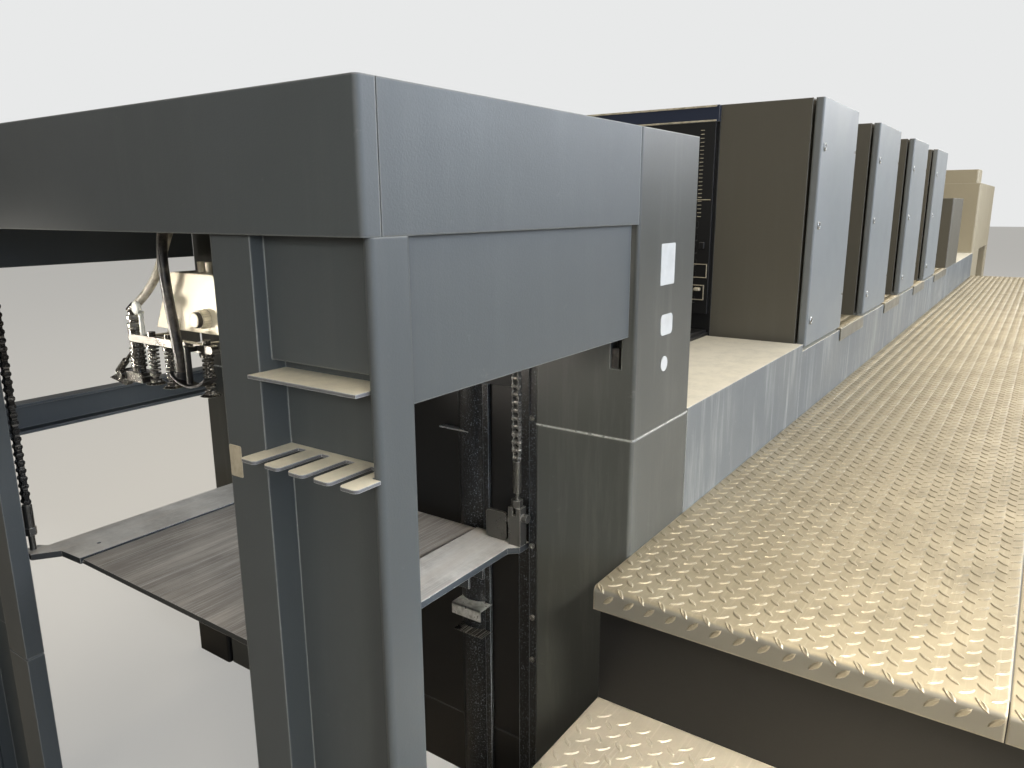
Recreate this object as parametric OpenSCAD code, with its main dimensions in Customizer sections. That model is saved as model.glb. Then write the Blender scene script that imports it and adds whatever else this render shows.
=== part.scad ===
// Four-unit sheet-fed offset press: high feeder with a chain-hung pile plate, printing units
// with drive-side cabinets, a raised delivery, and a tread-plate gallery along each side.
// Millimetres. +X is the way the sheet travels, +Y is the operator side, +Z is up.
// X positions in the modules count from the rear face of the feeder hood.

/* [Whole press] */
// Half the width over the side covers
half_width = 755; // [720:5:800]
// Half the width between the side frames of the units
frame_half = 403; // [380:1:430]
// Top of the drive-side and operator-side plinths
plinth_top = 1050; // [1000:5:1080]
// Front end of the ledges beside the feed table, where the plinths start
plinth_start = 2096; // [2060:1:2110]
// Thickness of folded sheet covers
sheet = 8; // [5:1:12]
// Radius of the delivery's upright edges
delivery_r = 24; // [12:2:40]
// Clearance at seats and seams that stay shut
seat_gap = 0.3; // [0.2:0.1:0.5]

/* [Feeder hood] */
// Top of the hood
hood_top = 1700; // [1650:5:1750]
// Height of the fascia round the hood
fascia_h = 185; // [150:1:220]
// Length of the fascia's return round the rear corners
fascia_return = 31; // [25:1:60]
// Width of the seams between the fascia and the side covers
seam = 2; // [1:0.5:4]
// Inward fold along the bottom and top of the side covers
fold = 25; // [18:1:35]
// Radius of the folded outer corners
corner_r = 8; // [4:1:12]
// Drop of the panel below the drive-side fascia
drive_panel_drop = 225; // [150:5:300]
// Drop of the panel below the operator-side fascia
operator_panel_drop = 108; // [80:2:160]
// How far the lower panels stand back from the fascia
panel_setback = 12; // [8:1:16]

/* [Feeder columns] */
// Rear face of the rear columns
rear_col_x = 11; // [8:1:20]
// Width of the rear columns
rear_col_w = 319; // [300:1:340]
// Depth of a rear column's outer flange
rear_col_depth = 73; // [65:1:90]
// Width of a rear column's inner box
inner_box_w = 89; // [75:1:100]
// Depth of a rear column's inner box
inner_box_depth = 39; // [34:1:41]
// Depth of the recess in a rear column's rear face
recess_depth = 46; // [43:1:50]
// Thickness of a rear column's web and outer flange
col_wall = 10; // [8:1:12]
// Height of the joint between the rear columns and their bases
rear_joint_z = 515; // [450:5:600]
// Rear face of the front columns
front_col_x = 750; // [746:1:760]
// Length of the front columns along the press
front_col_len = 300; // [260:5:340]
// Width of the front columns
front_col_w = 244; // [225:1:250]
// Height of the joint between the front columns and their bases
front_joint_z = 1070; // [1000:5:1090]
// How far the wall in front of the pile stands inside the front columns
wall_setback = 40; // [38:1:46]
// Depth of the half-round posts and the guides on that wall
guide_depth = 18; // [14:1:20]
// Width of the half-round posts
guide_w = 81; // [70:1:90]
// From the guide bars at the columns in to the strips beside the posts
guide_span = 135; // [125:1:140]
// Width of the flange beside each guide bar
guide_flange = 49; // [40:1:54]
// How far the guide bars stand in from the front columns' rear face
guide_in = 8; // [6:1:12]
// Height of the cable cut-out under the drive-side panel
cut_h = 71; // [60:1:80]
// Width of that cut-out
cut_w = 26; // [20:1:28]
// Underside of the rail on the operator side
rail_z = 980; // [940:5:1000]
// Height of that rail
rail_h = 80; // [60:1:90]
// Width of that rail
rail_w = 45; // [30:1:50]
// Height and inset of the dark joint lines
joint_line = 4; // [2:1:6]

/* [Tool rack] */
// Height of the shelf in the tool column
shelf_z = 1318; // [1290:1:1330]
// Height of the comb rack in the tool column
rack_z = 1202; // [1150:1:1230]
// Reach of the comb's tongues behind the hood's rear face
rack_reach = 33; // [25:1:60]
// Depth of the strip that joins the tongues
rack_strip = 12; // [8:1:16]
// Spacing of the comb's tongues
tongue_pitch = 50; // [46:1:52]
// Width of one tongue
tongue_w = 32; // [18:1:34]
// Radius of the tongues' corners
tongue_r = 7; // [4:0.5:9]
// Middle of the first tongue, from the inner side of the recess
tongue_inset = 14; // [12:1:16]
// Reach of the shelf behind the hood's rear face
shelf_reach = 10; // [5:1:20]
// Thickness of the shelf and the rack
rack_t = 5; // [4:1:8]

/* [Pile lift] */
// Top of the pile plate at rest
pile_z = 765; // [740:5:800]
// Rear edge of the pile plate
pile_x = 116; // [110:1:125]
// Clearance of the moving plate from the columns, guides and wall
run_gap = 6; // [5:0.5:6.5]
// Thickness of the middle of the plate
pile_t = 12; // [10:1:14]
// Thickness of the strip along each side of the plate
strip_t = 15; // [14:1:18]
// Width of those strips
strip_w = 135; // [120:1:150]
// Width of the groove beside each strip
groove = 6; // [4:1:8]
// Height of the channels under the plate
channel_h = 50; // [40:1:60]
// Wall of those channels
channel_t = 6; // [4:1:8]
// From the front columns in to the lift chains
chain_inset = 45; // [44:1:50]
// From the lift chains in to the side edge of the plate
pile_inset = 5; // [3:1:8]
// From a lift chain out to the edge of its ear
ear_reach = 17; // [15:1:18]
// From the front lift chains to the front edge of the plate
front_ear = 24; // [20:1:26]
// Width of the clevis blocks under the front chains
clevis_w = 34; // [30:1:36]
// Depth of the clevis blocks
clevis_depth = 26; // [22:1:28]
// Height of the clevis blocks
clevis_h = 95; // [80:1:100]
// Diameter of the threaded sleeves under the chains
sleeve_d = 20; // [16:1:22]
// Diameter of the rods in those sleeves
rod_d = 14; // [10:1:15]
// Length of the rods below the rear sleeves
rod_len = 56; // [40:1:70]
// Width over the flats of the nuts on the rods
nut_w = 24; // [20:1:26]
// Height of the nuts
nut_h = 18; // [12:1:20]
// Spacing of the pins of the lift chains
chain_pitch = 19.05; // [15:0.05:20]
// Number of links in each rear chain
rear_links = 38; // [34:1:38]
// Number of links in each front chain
front_links = 33; // [30:1:33]
// Diameter of the chain's rollers
roller_d = 12; // [10:0.5:12]
// Width between the chain's inner plates
roller_w = 11.6; // [11:0.1:13]
// Thickness of the chain's plates
link_t = 1.8; // [1.4:0.1:2.2]
// Height of the chain's plates
link_h = 16; // [14:0.5:17]
// Height of the hoist shafts
hoist_z = 1610; // [1590:1:1630]
// Pitch radius of the chain sprockets
sprocket_r = 42; // [35:1:50]
// Diameter of the hoist shafts
hoist_d = 30; // [24:1:36]

/* [Suction head] */
// Rear face of the suction head's housing
head_x = 255; // [240:1:280]
// Width of the housing along its underside
head_w = 290; // [260:2:300]
// How far each side of the housing leans in
head_lean = 66; // [50:1:70]
// Radius of the housing's upper edges
head_r = 24; // [18:1:30]
// Height of the housing
head_h = 121; // [115:1:130]
// Length of the housing
head_len = 150; // [120:1:180]
// Underside of the housing
head_z = 1301; // [1298:1:1310]
// Height of the two rails that carry the head
head_rail_z = 1385; // [1375:1:1390]
// Diameter of those rails
head_rail_d = 25; // [20:1:28]
// Diameter of the knob on the housing
knob_d = 39; // [34:1:44]
// Plane of the suckers, from the hood's rear face
sucker_x = 197; // [190:1:205]
// Half the length of the bar that carries the suckers
bar_half = 146; // [140:1:150]
// Height of that bar
bar_h = 16; // [12:1:18]
// Underside of the sucker feet
sucker_z = 1195; // [1190:1:1200]
// Places of the three sprung suckers across the press
sucker_places = [-118, 10, 70];
// Place of the outer sucker with the casting
outer_place = 130; // [128:1:132]
// Width across the sucker feet
sucker_d = 40; // [34:1:44]
// Diameter of the coiled springs on the suckers
spring_d = 22; // [18:1:24]
// Radius of the curved presser plate
presser_r = 93; // [85:1:100]
// Diameter of the hose to the presser foot
foot_hose_d = 20; // [18:1:22]
// Diameter of the hose to the outer sucker
sucker_hose_d = 17; // [14:1:18]

/* [Printing units] */
// Start of the first unit's cabinet
first_unit_x = 2127; // [2120:1:2200]
// Distance from one unit to the next
unit_pitch = 1004; // [960:2:1100]
// Length of a cabinet
cabinet_len = 545; // [500:1:600]
// Top of the cabinets
cabinet_top = 1900; // [1860:5:1950]
// Thickness of a cabinet door
door_t = 30; // [24:1:36]
// Running gap round a door
door_gap = 8; // [8:0.5:10]
// Diameter of the door hinge pins
hinge_d = 8; // [6:1:10]
// Top of the units between the cabinets
unit_top = 1860; // [1800:5:1890]
// Height of the tread plate's fold between the cabinets
step_fold = 45; // [30:1:60]
// Diameter of the locks on the doors
lock_d = 28; // [22:1:32]
// From a door's upstream edge to its locks
lock_x = 42; // [34:1:60]
// Rise of a unit's body over the plinth, in front of its cylinders
saddle_rise = 130; // [100:5:160]
// Radius of the round cover over a unit's front cylinder
cover_r = 110; // [90:5:125]
// Height of the middle of that cover
cover_z = 1660; // [1620:5:1700]
// Thickness of the guards on the units
guard_t = 16; // [12:1:20]
// Height of the navy beams across the units
beam_h = 57; // [45:1:65]
// Pitch of the louvres in the guards
louvre_pitch = 46; // [40:1:60]
// Diameter of the bars that the guards are lifted by
grip_d = 22; // [18:1:28]

/* [Feed table and ledges] */
// Top of the ledges beside the feed table
ledge_top = 1075; // [1060:1:1090]
// Height of the feed board where the sheet leaves the pile
board_high = 1135; // [1120:1:1145]
// Height of the feed board at the first unit
board_low = 1095; // [1080:1:1110]
// Thickness of the feed board
board_t = 30; // [20:1:40]
// Underside of the board's cheeks
cheek_z = 600; // [560:5:640]
// Level length of the cheeks at the front columns
cheek_flat = 120; // [100:5:140]

/* [Delivery] */
// Length of the sloping covers at each end of the sheet path
cover_run = 700; // [600:10:800]
// Length of the covers between them
cover_pitch = 600; // [550:10:650]
// Front face of the delivery
delivery_x = 8890; // [8600:10:9200]
// Length of the delivery
delivery_len = 2110; // [1800:10:2400]
// Length of the delivery's base, in front of its pile bay
delivery_base_len = 760; // [700:10:800]
// Underside of the delivery's upper housing
delivery_under = 1060; // [1055:1:1080]
// Top of the delivery's upper housing
delivery_top = 1768; // [1700:1:1800]
// Length of the box on top of the delivery
top_box_len = 360; // [300:5:500]
// Height of the box on top of the delivery
top_box_h = 140; // [100:5:150]
// Width of the posts under the far end of the delivery
delivery_post = 120; // [90:5:150]
// Height of the cover over the sheets where it meets the delivery
extension_top = 1690; // [1600:5:1750]
// Height of that cover after the last unit
extension_low = 1230; // [1180:5:1300]
// Start of the low cabinet after the last unit
low_cab_x = 6410; // [6300:5:6500]
// Length of the low cabinet
low_cab_len = 780; // [700:5:820]
// Top of the low cabinet
low_cab_top = 1600; // [1500:5:1650]

/* [Galleries] */
// Top of the galleries
deck_z = 805; // [780:5:820]
// Width of each gallery
deck_w = 850; // [800:5:900]
// Width of the inner row of tread plate
deck_inner_w = 706; // [600:1:750]
// Thickness of the tread plate
tread_t = 6; // [4:1:8]
// Thickness of the panels under the galleries
panel_t = 16; // [10:1:20]
// Front edge of the drive-side gallery
deck_x = 592; // [580:1:620]
// Front edge of the operator-side gallery
operator_deck_x = 1700; // [1690:5:2000]
// Far end of both galleries
deck_end = 9000; // [8900:10:9300]
// Height of the folded front edges
nosing = 50; // [35:1:60]
// Radius of the bend along the folded front edges
nosing_r = 12; // [8:1:16]
// How far the folded edges stand out over the panels below
overhang = 30; // [15:1:40]
// Depth of one step
step_depth = 310; // [280:1:320]
// Height of one step
step_rise = 270; // [255:1:275]
// Height of the low box beside the operator-side front column
low_box_h = 120; // [100:5:200]
// Width of that box
low_box_w = 170; // [140:5:230]

/* [Hidden] */
$fn = 32;
eps = 0.01;

anthracite = "#4b4f51";
dark_grey = "#3a3b3c";
black_paint = "#1d1e20";
beige = "#b5ad98";
tread_grey = "#a8a49a";
steel = "#8e8d88";
navy = "#1f2a3d";
cream = "#ddd8c6";

delivery_end = delivery_x + delivery_len;
mid_x = (delivery_end - rack_reach) / 2;
fascia_z = hood_top - fascia_h;
bridge_z = fascia_z - 60;
recess_y = [2 * corner_r - half_width + seat_gap, rear_col_w - inner_box_w - half_width - seat_gap];
recess_back = rear_col_x + recess_depth;
front_col_end = front_col_x + front_col_len;
front_inner_y = half_width - front_col_w;
wall_x = front_col_x + wall_setback;
wall_t = 10;
wall_joint_z = 185;
chain_y = front_inner_y - chain_inset;
pile_half = chain_y - pile_inset;
pile_end = wall_x - guide_depth - run_gap;
ear_x = rear_col_x + inner_box_depth + run_gap;
rear_chain_x = ear_x + ear_reach;
front_chain_x = pile_end - front_ear;
rear_chain_z = hoist_z - rear_links * chain_pitch - link_h / 2;
front_chain_z = hoist_z - front_links * chain_pitch - link_h / 2;
bar_z = head_z - 22;
beam_z = cabinet_top - beam_h;
cabinet_z = plinth_top;
cabinet_y = half_width - door_t - door_gap;
units_end = first_unit_x + 4 * unit_pitch;
riser_x = deck_x + overhang;
manifold_x = 360;
manifold_z = 1600;
foot_hose_route = [
    [174, -61, 1240], [174, -61, 1262], [174, -56, 1300], [174, -49, 1345], [174, -42, 1395],
    [175, -36, 1440], [180, -31, 1482], [192, -26, 1522], [214, -22, 1555], [244, -19, 1579],
    [280, -18, 1594], [320, -18, 1600], [360, -18, 1600]];
sucker_hose_route = [
    [199, 122, 1354], [204, 106, 1368], [210, 88, 1386], [217, 68, 1412], [223, 55, 1440], [230, 47, 1470],
    [240, 41, 1502], [256, 35, 1534], [280, 28, 1563], [306, 22, 1588], [332, 20, 1600], [360, 20, 1600]];

// A box given by its low and high edge along each axis
module block(x, y, z)
    translate([x[0], y[0], z[0]]) cube([x[1] - x[0], y[1] - y[0], z[1] - z[0]]);

// Outline of a rectangle with round corners, from its low corner
module rounded(w, h, r) {
    translate([r, 0]) square([w - 2 * r, h]);
    translate([0, r]) square([w, h - 2 * r]);
    for (x = [r, w - r], y = [r, h - r]) translate([x, y]) circle(r);
}

// A box with round upright edges, given by its low and high edge along each axis
module post(x, y, z, r)
    translate([x[0], y[0], z[0]]) linear_extrude(z[1] - z[0]) rounded(x[1] - x[0], y[1] - y[0], r);

// A round bar of diameter d from x0 to x1, at y and z
module bar_x(x0, x1, y, z, d)
    translate([x0, y, z]) rotate([0, 90, 0]) cylinder(d = d, h = x1 - x0);

// The piece as drawn on the drive side, and its twin on the operator side
module both_sides() {
    children();
    mirror([0, 1, 0]) children();
}

// Turns the press's own positions into the part's frame
module place() translate([-mid_x, 0, 0]) children();

// A profile drawn in X and Z, as thick as the range y
module side_profile(y, points)
    translate([0, y[1], 0]) rotate([90, 0, 0]) linear_extrude(y[1] - y[0]) polygon(points);

// Places along a route, a unit vector between two of them, and the tube round them all
function unit(v) = v / norm(v);
function heading(route, i) =
    unit(route[min(i + 1, len(route) - 1)] - route[max(i - 1, 0)]);
function ring(route, i, d, sides) =
    let (t = heading(route, i), u = unit(cross(t, [1, 3, 0])), w = cross(t, u))
    [for (k = [0:sides - 1]) route[i] + d / 2 * (cos(360 * k / sides) * u + sin(360 * k / sides) * w)];

// A hose swept along a route of places
module hose(route, d, sides = 10) {
    n = len(route);
    polyhedron(
        points = [for (i = [0:n - 1]) each ring(route, i, d, sides)],
        faces = concat(
            [[for (k = [0:sides - 1]) k]],
            [for (i = [0:n - 2], k = [0:sides - 1]) let (a = i * sides, b = (k + 1) % sides)
                [a + k, a + sides + k, a + sides + b, a + b]],
            [[for (k = [sides - 1:-1:0]) (n - 1) * sides + k]]));
}

// A gland that a hose leaves by, from its face back along the hose's axis
module gland(face, along, d, length)
    translate(face) rotate([0, acos(along[2]), atan2(along[1], along[0])]) translate([0, 0, -length])
        cylinder(d = d, h = length);

// Rear fascia with its short returns, rounded at the folded corners
module hood_fascia() color(anthracite) place()
    translate([0, 0, fascia_z]) linear_extrude(fascia_h) difference() {
        union() {
            translate([corner_r, -half_width]) square([fascia_return - corner_r, 2 * half_width]);
            translate([0, corner_r - half_width]) square([fascia_return, 2 * (half_width - corner_r)]);
            for (s = [-1, 1]) translate([corner_r, s * (half_width - corner_r)]) circle(corner_r);
        }
        translate([sheet, sheet - half_width]) square([fascia_return, 2 * (half_width - sheet)]);
    }

// Folded side covers of the hood
module hood_sides() color(anthracite) place() both_sides()
    translate([fascia_return + seam, -half_width, fascia_z]) difference() {
        cube([front_col_x - fascia_return - 2 * seam, fold, fascia_h]);
        translate([-1, sheet, sheet]) cube([front_col_x, fold, fascia_h - 2 * sheet]);
    }

// Flat top between the fascia and the side covers
module hood_top() color(anthracite) place()
    block([sheet, front_col_x - seam], [sheet - half_width, half_width - sheet],
          [hood_top - 2 * sheet, hood_top - sheet]);

// Cover that joins the front columns over the sheet's path
module feeder_bridge() color(anthracite) place() difference() {
    block([front_col_x, front_col_end], [-front_inner_y, front_inner_y], [bridge_z, hood_top]);
    block([front_col_x - 1, front_col_end - sheet], [-front_inner_y - 1, front_inner_y + 1],
          [bridge_z - 1, hood_top - sheet]);
}

// Set-back panels below the fascia on both sides
module side_panels() color(anthracite) place() {
    block([rear_col_x + rear_col_depth + 6, front_col_x - 10],
          [panel_setback - half_width, panel_setback + sheet - half_width],
          [fascia_z - drive_panel_drop, fascia_z]);
    block([rear_col_x + rear_col_depth + 6, front_col_x - 10],
          [half_width - panel_setback - sheet, half_width - panel_setback],
          [fascia_z - operator_panel_drop, fascia_z]);
}

// Waist-high rail on the operator side, a channel open toward the pile
module operator_rail() color(anthracite) place() difference() {
    block([rear_col_x + rear_col_depth, front_col_x], [half_width - 5 - rail_w, half_width - 5],
          [rail_z, rail_z + rail_h]);
    block([rear_col_x + rear_col_depth - 1, front_col_x + 1],
          [half_width - 6 - rail_w, half_width - 5 - sheet],
          [rail_z + sheet, rail_z + rail_h - sheet]);
}

// Outline of a rear column, drawn for the drive side
module rear_column_outline() {
    inner = rear_col_w - half_width;
    box_y = inner - inner_box_w;
    translate([rear_col_x, box_y]) square([inner_box_depth, inner_box_w]);
    translate([rear_col_x, box_y]) square([recess_depth + col_wall, col_wall]);
    translate([rear_col_x + recess_depth, col_wall / 2 - half_width])
        square([col_wall, box_y + col_wall / 2 + half_width]);
    translate([rear_col_x + corner_r, -half_width]) square([rear_col_depth - 2 * corner_r, col_wall]);
    for (x = [corner_r, rear_col_depth - corner_r])
        translate([rear_col_x + x, corner_r - half_width]) circle(corner_r);
}

// Rear column on the drive side, a channel open to the rear, with a cover above the shelf
module tool_column() color(anthracite) place() {
    translate([0, 0, rear_joint_z]) linear_extrude(fascia_z - rear_joint_z) rear_column_outline();
    block([rear_col_x + recess_depth / 2, rear_col_x + recess_depth],
          [2 * corner_r - half_width, rear_col_w - inner_box_w - half_width], [shelf_z + 20, fascia_z]);
}

// Rear column on the operator side
module operator_column() color(anthracite) place() mirror([0, 1, 0])
    translate([0, 0, rear_joint_z]) linear_extrude(fascia_z - rear_joint_z) rear_column_outline();

// Lower lengths of the rear columns, which raise the feeder above the floor
module column_bases() color(dark_grey) place() both_sides() {
    linear_extrude(rear_joint_z - joint_line) rear_column_outline();
    translate([0, 0, rear_joint_z - joint_line]) linear_extrude(joint_line) intersection() {
        rear_column_outline();
        translate([rear_col_x + joint_line, joint_line - half_width])
            square([rear_col_depth - 2 * joint_line, rear_col_w - 2 * joint_line]);
    }
    block([rear_col_x, rear_col_x + rear_col_depth], [-half_width + col_wall, rear_col_w - half_width],
          [0, 12]);
}

// Shelf in the tool column, seated against the back of its recess
module tool_shelf() color(dark_grey) place()
    block([-shelf_reach, recess_back], recess_y, [shelf_z, shelf_z + rack_t]);

// Outline of the comb: a strip along the back of the recess with five tongues
module comb_outline() {
    first_y = recess_y[1] + seat_gap - tongue_inset;
    translate([recess_back - rack_strip, recess_y[0]]) square([rack_strip, recess_y[1] - recess_y[0]]);
    for (i = [0:4]) translate([-rack_reach, first_y - i * tongue_pitch - tongue_w / 2])
        rounded(rack_reach + recess_back - tongue_r, tongue_w, tongue_r);
}

// Comb rack that tools hang from, trimmed to the recess where it enters the column
module tool_rack() color(dark_grey) place()
    translate([0, 0, rack_z]) linear_extrude(rack_t) intersection() {
        comb_outline();
        union() {
            translate([-rack_reach, -half_width])
                square([rack_reach + rear_col_x - seat_gap, rear_col_w]);
            translate([-rack_reach, recess_y[0]])
                square([rack_reach + recess_back, recess_y[1] - recess_y[0]]);
        }
    }

// Front columns of the feeder above their joint line, with a cable cut-out under the drive-side panel
module front_columns() color(anthracite) place() difference() {
    both_sides()
        post([front_col_x, front_col_end], [-half_width, -front_inner_y], [front_joint_z, hood_top],
             corner_r);
    translate([front_col_x - 1, 31 - half_width, fascia_z - drive_panel_drop - cut_h])
        cube([31, cut_w, cut_h]);
}

// Front columns below the joint line, down to the floor
module front_column_bases() color(anthracite) place() both_sides() {
    z = front_joint_z - joint_line;
    inset = joint_line - 1;
    post([front_col_x, front_col_end], [-half_width, -front_inner_y], [0, z], corner_r);
    post([front_col_x + inset, front_col_end - inset], [inset - half_width, -inset - front_inner_y],
         [z, front_joint_z], corner_r - inset / 2);
}

// Wall in front of the pile, with a joint line low down and the stop edge along its top
module pile_front_wall() color(black_paint) place() {
    line = joint_line - 1;
    x1 = wall_x + wall_t;
    block([wall_x, x1], [-front_inner_y, front_inner_y], [0, wall_joint_z]);
    block([wall_x + line, x1], [-front_inner_y, front_inner_y], [wall_joint_z, wall_joint_z + line]);
    block([wall_x, x1], [-front_inner_y, front_inner_y], [wall_joint_z + line, board_high]);
}

// Upright guides on the wall: an outer bar and flange up to the hood, a strip and a half-round post
module pile_guides() color(black_paint) place() both_sides() {
    bar_y = chain_y + ear_reach + run_gap;
    strip_y = bar_y - guide_span;
    post_r = (guide_w * guide_w / 4 + guide_depth * guide_depth) / (2 * guide_depth);
    block([front_col_x + guide_in, wall_x], [-front_inner_y, -bar_y], [0, bridge_z]);
    block([wall_x - sheet / 2, wall_x], [-bar_y, guide_flange - bar_y], [0, bridge_z]);
    block([wall_x - sheet, wall_x], [-strip_y, guide_depth - strip_y], [0, board_high]);
    translate([0, guide_depth + guide_w / 2 - strip_y, 0]) linear_extrude(board_high) intersection() {
        translate([wall_x - guide_depth + post_r, 0]) circle(post_r);
        translate([wall_x - guide_depth, -guide_w / 2]) square([guide_depth, guide_w]);
    }
}

// Cross shafts in the hood with a flanged chain wheel over each chain
module hoist_shafts() color(steel) place()
    for (x = [rear_chain_x + sprocket_r, front_chain_x - sprocket_r])
        translate([x, 0, hoist_z]) rotate([90, 0, 0]) {
            cylinder(d = hoist_d, h = 2 * (half_width - sheet), center = true);
            for (y = [-chain_y, chain_y]) translate([0, 0, y]) {
                cylinder(r = sprocket_r - roller_d / 2 - seat_gap, h = roller_w - 2 * seat_gap,
                         center = true);
                cylinder(d = 2 * hoist_d - 6, h = 3 * roller_w, center = true);
            }
        }

// Side plate of one chain link, drawn from one pin up to the next
module link_plate() {
    for (z = [0, chain_pitch]) translate([0, z]) circle(d = link_h);
    translate([-0.36 * link_h, 0]) square([0.72 * link_h, chain_pitch]);
}

// Roller chain of n links: rollers between inner plates, outer plates, and pins riveted over them
module roller_chain(n) rotate([90, 0, 0]) for (s = [0, 180]) rotate([0, s, 0]) {
    inner = roller_w / 2;
    linear_extrude(inner) for (i = [0:n]) translate([0, i * chain_pitch]) circle(d = roller_d);
    translate([0, 0, inner]) linear_extrude(link_t)
        for (i = [1:2:n - 1]) translate([0, i * chain_pitch]) link_plate();
    translate([0, 0, inner]) linear_extrude(link_t)
        for (i = [0:1:n]) translate([0, i * chain_pitch]) circle(d = roller_d / 2);
    translate([0, 0, inner + link_t]) linear_extrude(link_t)
        for (i = [0:2:n - 1]) translate([0, i * chain_pitch]) link_plate();
    translate([0, 0, inner + link_t]) linear_extrude(2 * link_t)
        for (i = [0:1:n]) translate([0, i * chain_pitch]) circle(d = roller_d / 2);
}

// The two roller chains at the rear, from the chain wheels down to the sleeves
module lift_chains() color(steel) place() both_sides()
    translate([rear_chain_x, -chain_y, hoist_z - rear_links * chain_pitch]) roller_chain(rear_links);

// The two roller chains at the front, which end higher, on longer turnbuckles
module front_lift_chains() color(steel) place() both_sides()
    translate([front_chain_x, -chain_y, hoist_z - front_links * chain_pitch]) roller_chain(front_links);

// Outline of the strip along the drive side of the plate, with an ear at each end
module side_strip() polygon([
    [pile_x - 5, strip_w - pile_half], [pile_x - 9, 58 - pile_half], [ear_x, 21 - pile_half],
    [ear_x, -chain_y - ear_reach], [ear_x + 36, -chain_y - ear_reach], [ear_x + 48, -pile_half],
    [front_chain_x - 34, -pile_half], [front_chain_x - 14, -chain_y - ear_reach],
    [pile_end, -chain_y - ear_reach], [pile_end, strip_w - pile_half]]);

// Steel plate with a thicker strip and ears along each side, and two channels under it
module pile_plate() color(steel) place() {
    z0 = pile_z - strip_t;
    middle_y = pile_half - strip_w - groove;
    block([pile_x, pile_end], [-middle_y, middle_y], [z0, z0 + pile_t]);
    both_sides() translate([0, 0, z0]) linear_extrude(strip_t) difference() {
        side_strip();
        translate([pile_x + 64, strip_w / 2 + 20 - pile_half]) circle(d = 10);
    }
    both_sides() block([pile_x, pile_end], [-middle_y - groove, -middle_y], [z0, z0 + pile_t / 2]);
    for (x = [pile_x + 84, pile_end - 170]) translate([x, 0, z0 - channel_h]) difference() {
        block([0, 60], [30 - pile_half, pile_half - 30], [0, channel_h]);
        block([channel_t, 60 - channel_t], [29 - pile_half, pile_half - 29], [-1, channel_h - channel_t]);
    }
}

// A hexagonal nut round the Z axis
module nut() cylinder(d = nut_w / cos(30), h = nut_h, $fn = 6);

// Rod, nut and threaded sleeve over a rear ear, drawn at the chain's place
module rear_hanger() {
    translate([0, 0, pile_z]) cylinder(d = rod_d, h = rod_len);
    translate([0, 0, pile_z + rod_len - nut_h]) nut();
    translate([0, 0, pile_z + rod_len]) cylinder(d = sleeve_d, h = rear_chain_z - pile_z - rod_len);
}

// Clevis block, nut and turnbuckle over a front ear, with the arm to its stiffening plate
module front_hanger() {
    z1 = pile_z + clevis_h;
    arm_len = 12;
    difference() {
        block([-clevis_depth / 2, clevis_depth / 2], [-clevis_w / 2, clevis_w / 2], [pile_z, z1]);
        block([-clevis_depth / 2 - 1, clevis_depth / 2 + 1], [-5, 5], [z1 - 20, z1 + 1]);
    }
    translate([0, 0, z1 - 20]) cylinder(d = 9.4, h = front_chain_z - z1 + 20);
    translate([0, 0, z1]) nut();
    translate([0, 0, z1 + 2 * nut_h]) cylinder(d = sleeve_d, h = front_chain_z - z1 - 2 * nut_h);
    translate([0, -clevis_w / 2, pile_z + 70]) rotate([90, 0, 0]) cylinder(d = sleeve_d, h = rod_d);
    translate([0, arm_len + clevis_w / 2 + 1, pile_z + 58]) rotate([90, 0, 0])
        cylinder(d = rod_d, h = arm_len + 2);
    translate([-4, arm_len + clevis_w / 2, pile_z]) rotate([90, 0, 90])
        linear_extrude(8) rounded(60, 72, 10);
}

// Hangers that carry the plate from the four chains
module lift_lugs() color(steel) place() both_sides() {
    translate([rear_chain_x, -chain_y, 0]) rear_hanger();
    translate([front_chain_x, -chain_y, 0]) front_hanger();
}

// Housing seen from the rear: leaning sides and round upper edges
module head_outline() {
    lean = atan2(head_lean, head_h);
    cy = head_w / 2 - (head_h - head_r) * tan(lean) - head_r / cos(lean);
    cz = head_h - head_r;
    polygon([[-head_w / 2, 0], [-cy - head_r * cos(lean), cz + head_r * sin(lean)], [-cy, head_h],
        [cy, head_h], [cy + head_r * cos(lean), cz + head_r * sin(lean)], [head_w / 2, 0]]);
    for (s = [-1, 1]) translate([s * cy, cz]) circle(head_r);
}

// Cream cast housing of the suction head, with its fluted knob and the stubs of two air lines
module suction_head() color(cream) place() {
    translate([head_x, 0, head_z]) rotate([90, 0, 90]) linear_extrude(head_len) head_outline();
    translate([head_x - 18, -knob_d + 2, head_z + 31]) rotate([0, 90, 0]) {
        linear_extrude(18) difference() {
            circle(d = knob_d);
            for (i = [0:11]) rotate(30 * i) translate([knob_d / 2 + 1.5, 0]) circle(3);
        }
        translate([0, 0, -9]) cylinder(d = knob_d - 9, h = 9);
    }
    for (y = [-18, 10]) translate([head_x + 30, y, head_z + head_h]) cylinder(d = 14, h = 22);
}

// Two round rails from the bridge that carry the suction head, and the hung air manifold
module head_rails() color(steel) place() {
    x0 = head_x + head_len;
    x1 = front_col_x + 30;
    for (y = [-60, 60]) bar_x(x0, x1, y, head_rail_z, head_rail_d);
    block([x1, x1 + 30], [-120, 120], [head_rail_z - 30, hood_top - sheet]);
    block([manifold_x + 14, manifold_x + 50], [-45, 45], [manifold_z - 22, manifold_z + 22]);
    block([manifold_x + 24, manifold_x + 40], [-30, 30], [manifold_z + 22, hood_top - 2 * sheet]);
    gland(foot_hose_route[len(foot_hose_route) - 1], [-1, 0, 0], foot_hose_d + 5, 15);
    gland(sucker_hose_route[len(sucker_hose_route) - 1], [-1, 0, 0], sucker_hose_d + 5, 15);
}

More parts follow.
